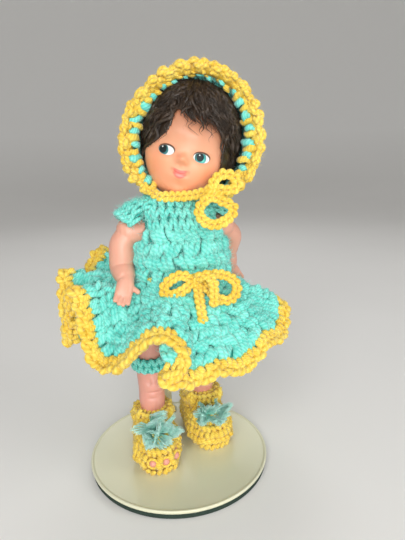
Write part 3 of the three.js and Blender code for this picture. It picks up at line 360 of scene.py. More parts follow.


# The second and fourth finishes are darker copies of the two yarns: painted shade, for the backing, linings
# and cores that show through the gaps between stitches.
aquaYarn = yarnFinish("aquaYarn", (0.1, 0.57, 0.485, 1), (0.28, 0.8, 0.7, 1), 0.35)
aquaShade = yarnFinish("aquaShade", (0.025, 0.3, 0.255, 1), (0.06, 0.42, 0.36, 1), 0.1)
yellowYarn = yarnFinish("yellowYarn", (0.72, 0.46, 0.045, 1), (0.88, 0.68, 0.13, 1), 0.3)
yellowShade = yarnFinish("yellowShade", (0.52, 0.3, 0.02, 1), (0.66, 0.43, 0.05, 1), 0.1)
# The fuzz finishes are paler copies of the yarns: painted light, the bright halo of loose fibres.
aquaFuzz = yarnFinish("aquaFuzz", (0.3, 0.8, 0.71, 1), (0.52, 0.94, 0.87, 1), 0.6)
yellowFuzz = yarnFinish("yellowFuzz", (0.85, 0.66, 0.2, 1), (0.94, 0.82, 0.36, 1), 0.5)
armSkin = skinFinish("armSkin", (0.71, 0.38, 0.275, 1), (0.73, 0.325, 0.23, 1))
legSkin = skinFinish("legSkin", (0.72, 0.34, 0.265, 1), (0.73, 0.3, 0.23, 1))
aqua = {"yarn": aquaYarn, "shade": aquaShade, "fuzz": aquaFuzz, "slot": "aqua_yarn"}
yellow = {"yarn": yellowYarn, "shade": yellowShade, "fuzz": yellowFuzz, "slot": "yellow_yarn"}


def tuftFinish():
    made, tree, shader = newMaterial("aquaTuft", 0.8)
    spot, _, v = textureSpots(tree)
    patches = noise(tree, spot, 260.0, 2.0)
    share = weighted(tree, ramp(tree, v, 1.5, 9.0), 0.6, patches, 0.5)
    tone = mixColour(tree, share, (0.32, 0.96, 0.81, 1), (0.78, 1.0, 0.95, 1))  # paler towards the tips: painted light at the tips, painted shade at the roots
    setColour(tree, shader, tone)
    through = addNode(tree, "ShaderNodeBsdfTranslucent", {"Color": tone})  # thin fibres let light through
    both = addNode(tree, "ShaderNodeMixShader", {0: 0.35, 1: shader.outputs[0], 2: through.outputs[0]})
    tree.links.new(both.outputs[0], tree.nodes["Material Output"].inputs["Surface"])
    return made


aquaTuft = tuftFinish()


def mottledFinish(name, roughness, grain, low, high, relief=None, settings=None):
    made, tree, shader = newMaterial(name, roughness, settings)
    spot = textureSpots(tree)[0]
    setColour(tree, shader, mixColour(tree, noise(tree, spot, *grain), low, high))
    if relief:
        scale, detail, strength, distance = relief
        bump(tree, shader, noise(tree, spot, scale, detail), strength, distance)
    return made


creamEnamel = mottledFinish("creamEnamel", 0.3, (35.0, 3.0), (0.66, 0.65, 0.46, 1), (0.71, 0.7, 0.52, 1),
                            (260.0, 2.0, 0.04, 0.3), {"Coat Weight": 0.25, "Coat Roughness": 0.2})
darkFelt = mottledFinish("darkFelt", 0.95, (1800.0, 4.0), (0.008, 0.02, 0.014, 1), (0.03, 0.055, 0.04, 1),
                         (1800.0, 4.0, 0.6, 0.4))
aquaButton = mottledFinish("aquaButton", 0.25, (300.0, 2.0), (0.13, 0.62, 0.54, 1), (0.2, 0.72, 0.63, 1))
print("materials ready")


# Camera and studio

view = {
    "at": (-41.46, -165.8, 123.4),  # mm
    "yawDeg": 18.0,
    "pitchDeg": 13.2,
    "rollDeg": -1.23,
    "focalPx": 437.0,
    "imageHeight": 540,
    "sensor": 36.0,  # mm
}


def makeCamera():
    yaw, pitch, roll = (math.radians(view[k]) for k in ("yawDeg", "pitchDeg", "rollDeg"))
    level = Vector((math.cos(yaw), -math.sin(yaw), 0))
    ahead = Vector((math.sin(yaw), math.cos(yaw), 0))
    upright = ahead * math.sin(pitch) + Vector((0, 0, math.cos(pitch)))
    look = ahead * math.cos(pitch) - Vector((0, 0, math.sin(pitch)))
    right = level * math.cos(roll) + upright * math.sin(roll)
    up = upright * math.cos(roll) - level * math.sin(roll)
    camera = linkPiece("camera", bpy.data.cameras.new("camera"))
    turned = Matrix((right, up, -look)).transposed().to_4x4()
    turned.translation = Vector(view["at"]) * mm
    camera.matrix_world = turned
    camera.data.sensor_width = view["sensor"]
    camera.data.lens = view["focalPx"] / view["imageHeight"] * view["sensor"]
    camera.data.clip_start = 0.005
    camera.data.clip_end = 20.0
    scene.camera = camera


studio = {
    "floorRadius": 900, "rise": 1250, "worldStrength": 0.31,
    "lights": [  # name, place and aim in m, size in m, watts
        ("keyLight", (-0.38, -0.6, 0.5), (0, 0, 0.07), 0.5, 3.3),
        ("fillLight", (0.6, -0.5, 0.4), (0, 0, 0.08), 0.5, 1.9),
        ("lowLight", (-0.1, -0.7, 0.16), (0, 0, 0.05), 0.35, 2.6),
        ("backLight", (0.15, 0.6, 0.7), (0, 0, 0.1), 0.45, 1.5),
    ],
}


def areaLight(name, at, aim, size, watts):
    lamp = bpy.data.lights.new(name, "AREA")
    lamp.shape = "DISK"
    lamp.size = size
    lamp.energy = watts
    made = linkPiece(name, lamp)
    made.location = at
    made.rotation_mode = "QUATERNION"
    made.rotation_quaternion = (Vector(aim) - Vector(at)).to_track_quat("-Z", "Y")


def makeStudio():
    made, tree, shader = newMaterial("paleFloor", 0.7)
    spot = textureSpots(tree)[0]
    tone = mixColour(tree, noise(tree, spot, 6.0, 2.0), (0.78, 0.77, 0.75, 1), (0.82, 0.81, 0.79, 1))
    height = addNode(tree, "ShaderNodeSeparateXYZ", {0: spot}).outputs[2]
    paler = ramp(tree, height, 0.0, 0.25)
    setColour(tree, shader, mixColour(tree, paler, tone, (0.95, 0.945, 0.93, 1)))
    shell = newShell()
    r, rise = studio["floorRadius"], studio["rise"]
    turn = np.linspace(0, np.pi / 2, 14)
    sweep = [(r + rise * math.sin(t), rise * (1 - math.cos(t))) for t in turn]
    addLathe(shell, [(0.01, 0), (r / 3, 0), (r * 0.7, 0)] + sweep, 72, -0.05)
    floor = makePiece("floor", shell, made)
    world = bpy.data.worlds.new("studio")
    scene.world = world
    world.use_nodes = True
    back = world.node_tree.nodes["Background"]
    back.inputs["Color"].default_value = (1.0, 0.985, 0.96, 1)
    back.inputs["Strength"].default_value = studio["worldStrength"]
    for light in studio["lights"]:
        areaLight(*light)
    scene.view_settings.view_transform = "Standard"


makeCamera()
makeStudio()
print("camera and studio ready")


# Geometry Nodes: stitches set on marked spots, and loose fibres on the finished yarn

def newGroup(name, **kinds):
    tree = bpy.data.node_groups.new(name, "GeometryNodeTree")
    tree.is_modifier = True
    sockets = {}
    for key, kind in {"Geometry": "Geometry", **kinds, "Seed": "Int", "Yarn": "Material"}.items():
        made = tree.interface.new_socket(key, in_out="INPUT", socket_type="NodeSocket" + kind)
        sockets[key] = made.identifier
    tree.interface.new_socket("Geometry", in_out="OUTPUT", socket_type="NodeSocketGeometry")
    return tree, sockets, tree.nodes.new("NodeGroupInput").outputs


def placeShapes(tree, shape, points, rotation, scale, yarn):
    held = addNode(tree, "GeometryNodeObjectInfo", {"Object": shape}, transform_space="ORIGINAL")
    placed = addNode(tree, "GeometryNodeInstanceOnPoints", {
        "Points": points, "Instance": held.outputs["Geometry"], "Rotation": rotation, "Scale": scale})
    real = addNode(tree, "GeometryNodeRealizeInstances", {"Geometry": placed.outputs[0]})
    painted = addNode(tree, "GeometryNodeSetMaterial", {"Geometry": real.outputs[0], "Material": yarn})
    addNode(tree, "NodeGroupOutput", {0: painted.outputs[0]})


def randomVector(tree, most, seed):
    inputs = {"Min": tuple(-m for m in most), "Max": most, "Seed": seed}
    return addNode(tree, "FunctionNodeRandomValue", inputs, data_type="FLOAT_VECTOR").outputs[0]


def vectorMath(tree, operation, inputs):
    return addNode(tree, "ShaderNodeVectorMath", inputs, operation=operation).outputs[0]


def namedVector(tree, name):
    kind = "GeometryNodeInputNamedAttribute"
    return addNode(tree, kind, {"Name": name}, data_type="FLOAT_VECTOR").outputs[0]


def stitchTree():
    tree, sockets, given = newGroup("stitchesOnSpots", Stitch="Object", Uneven="Float")
    faceOut, runsUp, stretch = (namedVector(tree, name) for name in ("faceOut", "runsUp", "stretch"))
    turn = addNode(tree, "FunctionNodeAxesToRotation", {0: faceOut, 1: runsUp}, primary_axis="Z",
                   secondary_axis="Y")
    spread = randomVector(tree, (1, 1, 1), given["Seed"])
    wobble = vectorMath(tree, "SCALE", {0: spread, "Scale": given["Uneven"]})
    factor = vectorMath(tree, "ADD", {0: wobble, 1: (1, 1, 1)})
    size = vectorMath(tree, "MULTIPLY", {0: factor, 1: stretch})
    placeShapes(tree, given["Stitch"], given["Geometry"], turn.outputs[0], size, given["Yarn"])
    return tree, sockets


def fuzzTree():
    tree, sockets, given = newGroup("looseFibres", Fibre="Object", Density="Float", Length="Float")
    spots = addNode(tree, "GeometryNodeDistributePointsOnFaces", {
        "Mesh": given["Geometry"], "Density": given["Density"], "Seed": given["Seed"]},
        distribute_method="RANDOM")
    lean = randomVector(tree, (1.1, 1.1, 3.1), given["Seed"])
    turn = addNode(tree, "FunctionNodeEulerToRotation", {0: lean})
    aim = addNode(tree, "FunctionNodeRotateRotation", {0: spots.outputs["Rotation"], 1: turn.outputs[0]},
                  rotation_space="LOCAL")
    size = addNode(tree, "FunctionNodeRandomValue", {2: 0.5, 3: 1.5, "Seed": given["Seed"]},
                   data_type="FLOAT")
    scaled = calc(tree, "MULTIPLY", size.outputs[1], given["Length"])
    placeShapes(tree, given["Fibre"], spots.outputs["Points"], aim.outputs[0], scaled, given["Yarn"])
    return tree, sockets


stitchNodes = stitchTree()
fuzzNodes = fuzzTree()
shapes = []


def newSpots():
    return {"at": [], "faceOut": [], "runsUp": [], "stretch": []}


def addSpots(spots, at, faceOut, runsUp, stretch):
    spots["at"] += list(at)
    spots["faceOut"] += list(faceOut)
    spots["runsUp"] += list(runsUp)
    spots["stretch"] += list(stretch)


def runNodes(piece, tree, sockets, **values):
    modifier = piece.modifiers.new("nodes", "NODES")
    modifier.node_group = tree
    for key, value in values.items():
        modifier[sockets[key]] = value
    return bakeModifiers(piece)


def knit(name, body, colour, spots, stitch, *replaced, uneven, seed):
    mesh = bpy.data.meshes.new(name)
    mesh.from_pydata((np.array(spots["at"]) * mm).tolist(), [], [])
    for key in ("faceOut", "runsUp", "stretch"):
        layer = mesh.attributes.new(key, "FLOAT_VECTOR", "POINT")
        layer.data.foreach_set("vector", np.array(spots[key], np.float32).ravel())
    piece = linkPiece(name, mesh)
    runNodes(piece, *stitchNodes, Stitch=stitch, Uneven=uneven, Seed=seed, Yarn=colour["yarn"])
    smoothFaces(piece.data)
    return dress(piece, body, colour["slot"], *replaced)


def addFuzz(name, host, body, colour, density, length, seed):
    piece = linkPiece(name, host.data.copy())
    runNodes(piece, *fuzzNodes, Fibre=fibreShape, Density=density, Length=length, Seed=seed,
             Yarn=colour["fuzz"])
    return dress(piece, body, colour["slot"])


# The backing sheet stands for the body of the crochet and takes the darker yarn copy: painted shade seen
# through the gaps between stitches.
def addCloth(name, shell, body, colour, thickness=0.5):
    return dress(thicken(makePiece(name, shell, colour["shade"]), thickness), body, colour["slot"])


def stitchShape(name, strands, sides=5, steps=None):
    shell = newShell()
    for points, radius in strands:
        count = steps or 2 * len(points) - 1
        widths = np.interp(np.linspace(0, 1, count), np.linspace(0, 1, len(radius)), radius)
        addStrand(shell, smoothPath(points, count), widths, sides)
    made = makePiece(name, shell, aquaYarn)
    made.hide_render = True
    shapes.append(made)
    return made


def mirrored(points, axis):
    flip = np.ones(3)
    flip[axis] = -1
    return [tuple(np.array(p) * flip) for p in points]


# A vee is 3.1 mm wide and 5 tall, a post 1.75 wide and 6.8 tall, a rope stitch 3 long, a chain link 2.6 long
veeArm = [(-1.35, 2.9, -0.2), (-1.15, 1.2, 0.75), (-0.6, -0.8, 0.85), (-0.15, -2.7, -0.1)]
veeRadius = [0.55, 0.92, 0.9, 0.55]
veeStitch = stitchShape("veeStitch", [(veeArm, veeRadius), (mirrored(veeArm, 0), veeRadius)])
veeBoth = stitchShape("veeBoth", [
    (veeArm, veeRadius), (mirrored(veeArm, 0), veeRadius),
    (mirrored(veeArm, 2), veeRadius), (mirrored(mirrored(veeArm, 0), 2), veeRadius)])
postArm = [(-0.1, -3.6, -0.25), (0.25, -1.3, 0.8), (-0.2, 1.3, 0.9), (0.15, 3.6, -0.1)]
postRadius = [0.65, 1.08, 1.12, 0.7]
postStitch = stitchShape("postStitch", [(postArm, postRadius)])
postBoth = stitchShape("postBoth", [(postArm, postRadius), (mirrored(postArm, 2), postRadius)])
ropeStitch = stitchShape("ropeStitch", [
    ([(-1.9, -0.75, 0), (-0.7, -0.3, 0.85), (0.7, 0.35, 0.85), (1.9, 0.75, 0)], [0.55, 0.92, 0.92, 0.55])])
linkArm = [(0.2, -1.7, -0.3), (-0.72, -0.6, 0.35), (-0.78, 0.6, 0.45), (0.05, 1.8, 0.15)]
linkRadius = [0.5, 0.82, 0.84, 0.55]
linkStitch = stitchShape("linkStitch", [
    (linkArm, linkRadius), (mirrored(linkArm, 0), linkRadius),
    ([(0, -1.3, -0.5), (0.1, 0, -0.75), (0, 1.3, -0.5)], [0.55, 0.7, 0.55])])
fibreArm = [(0, 0, 0), (0.18, 0.05, 0.4), (0.1, 0.3, 0.75), (-0.15, 0.5, 1.0)]
fibreShape = stitchShape("fibreShape", [(fibreArm, [0.03, 0.028, 0.022, 0.01])], 3, 3)
print("stitch shapes ready")


def rowsOn(surface, rows, pitch, size, onto=None, closed=True, depth=1.0, keep=None, spread=0.0, seed=1,
           group=1, squeeze=0.9, fanDeg=0.0, tiltDeg=0.0, scallop=(0.0, 4.0)):
    spots = onto or newSpots()
    rng = np.random.default_rng(seed)
    for k, (top, low) in enumerate(rows):
        middle = (top + low) / 2
        u = np.linspace(0, 1, 900)
        line = surface(u, middle)
        run = runOf(line)
        count = max(3, round(run[-1] / (pitch * group)))
        shift = 0.5 * (k % 2) if closed else 0.25 + 0.5 * (k % 2)
        member = np.arange(group) - (group - 1) / 2
        shift = shift + rng.normal(0, 0.5 * spread, count)[:, None]
        where = ((np.arange(count)[:, None] + shift) + squeeze * member[None] / group).ravel() / count
        member = np.tile(member, count)
        if closed:
            where = where % 1.0
        else:
            inside = (where > 0.1 / count) & (where < 1 - 0.1 / count)
            where, member = where[inside], member[inside]
        spot = np.interp(where * run[-1], run, u)
        at = surface(spot, middle)
        up = surface(spot, top) - surface(spot, low)
        across = surface(spot + 0.003, middle) - surface(spot - 0.003, middle)
        out = unit(np.cross(across, up))
        tall = np.linalg.norm(up, axis=1)
        steady = tall < 1.9 * np.median(tall)  # a longer step is a jump from one surface to another
        lean = rng.normal(0, spread, at.shape)
        bow = np.sin(2 * np.pi * np.arange(len(at)) / scallop[1]) * scallop[0]
        at = at - unit(up) * bow[:, None]
        sway = rng.normal(0, 60 * spread, len(at))
        turn = np.radians(tiltDeg * (-1) ** k + fanDeg * member + sway)[:, None]
        runs = unit(up) * np.cos(turn) + unit(across) * np.sin(turn)
        chosen = steady if keep is None else steady & keep(at)
        wide = run[-1] / count / group / size[0]
        stretch = np.stack([wide + 0 * tall, tall / size[1], depth + 0 * tall], 1)
        addSpots(spots, at[chosen], unit(out + lean)[chosen], runs[chosen], stretch[chosen])
    return spots


# Stand: turned disc, felt and post

stand = {"disc": 38.0, "discBottom": 2.2, "discTop": 3.3, "rimWidth": 0.9, "rimHeight": 0.4, "pad": 37.5,
         "padTop": 1.9}


def makeStand():
    r, top, low = stand["disc"], stand["discTop"], stand["discBottom"]
    lip, inner = top + stand["rimHeight"], r - stand["rimWidth"]
    shell = newShell()
    addLathe(shell, [
        (0.01, low), (r - 0.6, low), (r - 0.2, low + 0.15), (r, low + 0.6), (r, lip - 0.3),
        (r - 0.12, lip - 0.08), (r - 0.3, lip), (inner + 0.25, lip), (inner + 0.05, lip - 0.1),
        (inner - 0.3, top + 0.05), (inner - 0.6, top), (20, top), (0.01, top),
    ], 144)
    dress(makePiece("standDisc", shell, creamEnamel), "stand", "enamel", "base_disc")
    shell = newShell()
    p, t = stand["pad"], stand["padTop"]
    addLathe(shell, [(0.01, 0), (p - 0.3, 0), (p, 0.25), (p + 0.05, 0.7), (p - 0.15, t), (0.01, t)], 144)
    dress(makePiece("standFelt", shell, darkFelt), "stand", "felt", "base_pad")
    for name in ("stand_post", "waist_cradle"):
        paintNode(name, creamEnamel)


makeStand()
print("stand ready")


# Skirt: the ruffled hem is a closed curve of [azimuth, radius, rise from the waist]

skirtShape = {
    "waist": 77.0, "shift": 3.8, "halfWidth": 19.4, "halfDepth": 14.8, "knit": 2.0, "start": 3.8,
    "middle": 1.5, "edging": 1.5,
    "rows": 7, "lastRow": 0.8, "fuzz": (155000.0, 1.8), "edgingFuzz": (300000.0, 1.2),  # fibres per m2, mm
    "hem": [
        (-150, 42, -29), (-138, 41.5, -27.5), (-128.5, 40, -20.5), (-120, 38.5, -16), (-111, 38.5, -15.8),
        (-104.5, 40, -19), (-102.5, 42, -22.6), (-105.5, 44, -25.6), (-111, 45, -26.8), (-112, 45.3, -28.6),
        (-106, 44.8, -29.6), (-98, 42.8, -30.6), (-90.5, 41, -30.2), (-84, 40.3, -29), (-77, 40, -30.4),
        (-68, 40.5, -31.2), (-58, 41, -28.4), (-47, 42, -25), (-36, 44, -26.6), (-25, 46, -25),
        (-14, 47.4, -17.4), (-2, 46, -20), (10, 45, -28.4), (24, 45, -27.6), (38, 44, -29), (52, 44, -22),
        (66, 44, -16), (80, 43, -20), (94, 43, -14), (108, 42, -4), (121, 41, 0), (134, 41.5, 7.4),
        (146, 43.5, -1), (155, 46, -11.6), (163, 47.4, -4), (170, 48, 2.6), (177, 47.8, -12),
        (181.5, 47.6, -25.5), (186, 46.8, -15), (190, 45.8, -3), (194, 45, -1.5), (199, 44.4, -13),
        (204, 43.6, -25),
    ],
}


def hemAt(t):
    hem = np.array(skirtShape["hem"], float)
    n = len(hem)
    spot = (np.asarray(t, float) % 1) * n
    k = np.floor(spot).astype(int)
    f = (spot - k)[:, None]
    lap = lambda i: hem[i % n] + np.stack([360.0 * (i // n), 0 * i, 0 * i], 1)
    p0, p1, p2, p3 = lap(k - 1), lap(k), lap(k + 1), lap(k + 2)
    leave, arrive = (p2 - p0) / 2, (p3 - p1) / 2
    ease = f * f * (3 - 2 * f)
    return p1 + ease * (p2 - p1) + f * (1 - f) * ((1 - f) * leave - f * arrive)


def skirtPoint(t, down):
    s = skirtShape
    turnDeg, r, rise = hemAt(t).T
    turn = np.radians(turnDeg)
    a, b = s["halfWidth"] - s["knit"] / 2, s["halfDepth"] - s["knit"] / 2
    start = ovalRing(turn, a, b, s["waist"] - s["start"], s["shift"])
    hem = ovalRing(turn, r, r, s["waist"] + rise, s["middle"])
    share = 1 - (2 * s["edging"] + 3 * gap) / np.linalg.norm(hem - start, axis=1)
    return fromDoll(start + (hem - start) * (down * share)[:, None])


def edgingMiddle(t):
    edge = skirtPoint(t, 1.0)
    return edge, unit(edge - skirtPoint(t, 0.94))


def makeSkirt():
    s = skirtShape
    t = np.linspace(0, 1, 432, endpoint=False)
    rows = np.stack([skirtPoint(t, v) for v in np.linspace(-0.02, 1.0, 22)], 1)
    shell = newShell()
    addGrid(shell, rows, closed=True, flip=True)
    cloth = addCloth("skirtCloth", shell, "torso", aqua)
    rounds = [(v - 0.015, v + 0.16) for v in np.linspace(0.0, s["lastRow"], s["rows"])]
    spots = rowsOn(skirtPoint, rounds, pitch=2.1, size=(1.65, 6.2), spread=0.17, seed=3, group=3, squeeze=0.8,
                   fanDeg=10, tiltDeg=22, depth=1.6)
    fans = knit("skirtStitches", "torso", aqua, spots, postBoth, "skirt", uneven=0.2, seed=3)
    edge, way = edgingMiddle(t)
    out = s["edging"] + 3 * gap
    rim = lambda u, v: edgingMiddle(u)[0] + edgingMiddle(u)[1] * (out + 4.2 * (v - 0.5))
    spots = rowsOn(rim, [(0.0, 1.0)], pitch=2.8, size=(1.75, 3.3), spread=0.16, seed=5, scallop=(0.55, 2.4),
                   tiltDeg=90, depth=1.55)
    shells = knit("skirtEdging", "torso", yellow, spots, linkStitch, "skirt_edging", uneven=0.14, seed=5)
    spots = rowsOn(rim, [(-0.6, 0.35)], pitch=2.3, size=(1.75, 6.8), spread=0.14, seed=8, scallop=(0.5, 2.4))
    spots["stretch"] = [np.array([1.05, mark[1], 1.3]) for mark in spots["stretch"]]
    posts = knit("skirtEdgingPosts", "torso", yellow, spots, postBoth, uneven=0.18, seed=8)
    # A core strand in the darker yellow copy lies under the edging: painted shade between its stitches.
    shell = newShell()
    addStrand(shell, edge + way * (out - 0.2), radius=1.25, sides=8, closed=True)
    core = dress(makePiece("skirtEdgingCore", shell, yellowShade), "torso", "yellow_yarn")
    fuzz = addFuzz("skirtFuzz", fans, "torso", aqua, *s["fuzz"], seed=6)
    edgeFuzz = addFuzz("skirtEdgingFuzz", shells, "torso", yellow, *s["edgingFuzz"], seed=7)


makeSkirt()
print("skirt ready")


# Bodice: [height, shift, half width, half depth, fall to the left per mm]

bodiceShape = {
    "sections": [
        (75.6, 3.8, 19.6, 15.0, 0), (78.4, 3.8, 19.6, 15.0, 0), (82, 3.8, 19.4, 14.8, 0),
        (90, 3.2, 18.5, 14.2, 0), (95.5, 2.4, 17.6, 13.4, 0), (100, 2.3, 17, 12.6, 0),
        (103.6, 2.2, 15.2, 12, 0.05), (106.4, 2, 12.8, 11.4, 0.1), (108.6, 2, 10.8, 10.4, 0.13),
    ],
    "knit": 2.0,
    "armhole": 6.0,
    "capInside": 12.8,
    "capReach": 11.0,
    "capRadius": 5.85,
    "capSpreadDeg": 60,
    "fuzz": (600000.0, 1.7),  # fibres per m2, mm
}


def bodicePoint(u, v, grow=-0.9):
    table = np.array(bodiceShape["sections"], float)
    run = runOf(table[:, [0, 2]])
    z, shift, a, b, fall = (np.interp(v * run[-1], run, table[:, k]) for k in range(5))
    turn = turnOf(u)
    return fromDoll(ovalRing(turn, a + grow, b + grow, z - fall * (a + grow) * np.cos(turn), shift))


def girdlePoint(u, v):
    s = skirtShape
    a, b, z = s["halfWidth"] - 0.2, s["halfDepth"] - 0.2, s["waist"] - 6.2 + 6.6 * v
    return fromDoll(ovalRing(turnOf(u), a, b, z, s["shift"]))


def clearOfArms(at, margin=0.9):
    local = at - shoulderAt
    near = np.hypot(local[:, 1], local[:, 2]) < bodiceShape["armhole"] + margin
    return ~((np.abs(local[:, 0]) > 9) & near)


def capPoint(side):
    def surface(u, v):
        b = bodiceShape
        turn = math.radians(b["capSpreadDeg"]) * (2 * np.asarray(u, float) - 1)
        r = b["capRadius"] + b["knit"] / 2
        edge = 1 - 0.4 * (2 * np.asarray(u, float) - 1) ** 2
        x = b["capInside"] + b["capReach"] * v * edge
        return shoulderAt + np.stack([side * x, r * np.sin(turn), r * np.cos(turn) - 0.3 * v * v], 1)
    return surface


def shoulderPoint(side):
    cap = capPoint(side)

    def surface(u, v):
        u = np.asarray(u, float)
        neck = bodicePoint(0.25 - 0.25 * side + side * 0.24 * (u - 0.5), 0.9, -0.6)
        rise = np.array([0.0, 0.0, 1.6 * math.sin(math.pi * min(v, 1.0))])
        return neck * (1 - v) + cap(u, 1.0) * v + rise
    return surface


def shoulderRow(side):
    surface = shoulderPoint(side)
    return surface if side > 0 else lambda u, v: surface(1 - u, v)


def makeBodice():
    u = np.linspace(0, 1, 96, endpoint=False)
    grid = np.stack([bodicePoint(u, v, -1.2) for v in np.linspace(0, 1, 30)], 1)
    shell = newShell()
    addGrid(shell, grid, closed=True)
    middles = grid.reshape(-1, 3)[np.array(shell["faces"])].mean(1)
    keepFaces(shell, np.nonzero(clearOfArms(middles, -0.2))[0])
    for side in (-1, 1):
        rows = [shoulderPoint(side)(np.linspace(0, 1, 20), v) for v in np.linspace(0, 0.97, 10)]
        addGrid(shell, np.stack(rows, 1), flip=side > 0)
    addCloth("bodiceCloth", shell, "torso", aqua)
    spots = rowsOn(bodicePoint, [(0.17, -0.02), (0.32, 0.13), (0.47, 0.28), (0.62, 0.43)], pitch=2.1,
                   size=(1.65, 6.2), keep=clearOfArms, spread=0.15, seed=11, group=3, squeeze=0.8, fanDeg=10,
                   tiltDeg=20, depth=1.5)
    rowsOn(girdlePoint, [(1.0, 0.0)], onto=spots, pitch=2.0, size=(1.65, 6.2), spread=0.11, seed=17, group=3,
           fanDeg=9, tiltDeg=-22, depth=1.1)
    fans = knit("bodiceClusters", "torso", aqua, spots, postStitch, "bodice", uneven=0.12, seed=11)
    spots = rowsOn(bodicePoint, [(0.74, 0.57), (0.875, 0.71), (1.01, 0.85)], pitch=3.2, size=(3.0, 5),
                   keep=clearOfArms, depth=1.3, spread=0.07, seed=12)
    for side in (-1, 1):
        rowsOn(shoulderRow(side), [(-0.1, 0.28), (0.2, 0.55), (0.48, 0.83), (0.75, 1.08)], onto=spots,
               pitch=2.7, size=(3.1, 5), closed=False, spread=0.08, seed=13, depth=1.1)
    vees = knit("bodiceYoke", "torso", aqua, spots, veeStitch, uneven=0.1, seed=12)
    spots = rowsOn(bodicePoint, [(1.03, 0.97)], pitch=3.0, size=(3, 2.2), keep=clearOfArms, spread=0.12,
                   seed=14, scallop=(0.3, 3.0))
    for side in (-1, 1):
        rowsOn(shoulderRow(side), [(0.93, 1.1)], onto=spots, pitch=2.6, size=(3, 2.2), closed=False,
               spread=0.1, seed=18, depth=1.3)
    knit("bodiceRidges", "torso", aqua, spots, ropeStitch, uneven=0.12, seed=14)
    for name, host, seed in (("bodiceFuzz", fans, 15), ("yokeFuzz", vees, 16)):
        addFuzz(name, host, "torso", aqua, *bodiceShape["fuzz"], seed=seed)


makeBodice()
print("bodice ready")


# Cords: crocheted chains, from the routes that the solids follow

cordShape = {
    "pitch": 2.3,
    "fat": 1.35,
    "shortest": 30,  # mm
    "chinKnot": (12, -16, 11),
    "chinTieRight": [(-22.2, 6.8, -5), (-20.9, 5.6, -5.7), (-18.5, 4.2, -6.2), (-15, 3.2, -5.4),
                     (-11, 2.6, -4.5), (-7, 1.8, -3.3), (-3.8, 0.6, -1.9), (-2.4, 0, -1)],
    "chinTieLeft": [(5.2, 6.8, -1), (4.6, 6.1, -1.6), (3.8, 4.8, -1.8), (1.4, 2.4, -0.7)],
    "chinUpper": [(0.2, 0, 2.75), (1, -0.1, 5), (3.8, -0.4, 7), (7.2, -0.7, 6.6), (9, -1, 4.2),
                  (7.8, -1.2, 2.1), (5.2, -1.1, 1.3), (2.7, -0.8, 0.95)],
    "chinLower": [(-0.2, -1.2, -2.6), (-2.2, -2.2, -4.6), (-3.2, -2.8, -8), (-0.8, -2.8, -11.2),
                  (3.4, -2.6, -12), (7.4, -2.4, -9.6), (9.6, -2, -5.8), (8.2, -1.8, -3.6), (5.4, -1.6, -3.1),
                  (2.6, -1, -2.3)],
    "waistKnot": (4.4, -17.4, 77.4),
    "waistRight": [(-2.5, 0, 0.7), (-5.8, -0.2, 2.8), (-10, 0, 1.4), (-13, 0.2, -1.4), (-12.4, -0.2, -4),
                   (-8.8, -0.8, -4.4), (-5, -1, -2.7), (-2.6, -0.7, -1)],
    "waistLeft": [(2.5, 0, 0.7), (6.6, -0.6, 2), (12, -1.2, 1), (15.8, -1.8, -2.2), (15.4, -3, -6),
                  (11.8, -4.2, -8.2), (7.4, -3.8, -7), (4.4, -2.2, -3.8), (2.5, -1, -1.6)],
    "waistLong": [(0, -1.4, -2.5), (-0.1, -3, -4.8), (-0.4, -5, -7.2), (-0.6, -7.2, -10), (-0.8, -9.4, -13)],
    "waistShort": [(0.2, -2.1, 1.5), (1.6, -3.4, 2.6), (3.8, -4.4, 2.4), (5.2, -5.2, -0.6), (5, -6.2, -4),
                   (4.6, -7.2, -7.6)],
}


def evenPath(points, step):
    fine = smoothPath(points, 40 * len(points))
    run = runOf(fine)
    where = np.linspace(0, run[-1], max(4, round(run[-1] / step)))
    return np.stack([np.interp(where, run, fine[:, k]) for k in range(3)], 1), run[-1]


def chainCord(name, route, facing, body, replaced):
    path, length = evenPath(route, cordShape["pitch"])
    along = unit(np.gradient(path, axis=0))
    face = unit(facing - along * (along @ facing)[:, None])
    spots = newSpots()
    addSpots(spots, path, face, along, np.tile([cordShape["fat"], 1.0, cordShape["fat"]], (len(path), 1)))
    piece = knit(name, body, yellow, spots, linkStitch, *replaced, uneven=0.06, seed=21)
    print(name, round(length, 1), "mm")


def knotWrap(name, centre, body, node):
    shell = newShell()
    turn = fullTurn(14)
    for tilt, r, off in ((0.2, 1.9, -0.7), (-0.35, 1.85, 0.8), (1.4, 1.7, 0.1)):
        ring = ovalRing(turn, r, r, off + 0.3 * np.sin(turn))
        bend = np.array(Matrix.Rotation(tilt, 3, "Y") @ Matrix.Rotation(0.4, 3, "X"))
        addStrand(shell, centre + ring @ bend.T, 1.0, 6, closed=True)
    dress(makePiece(name, shell, yellowYarn), body, "yellow_yarn", node)


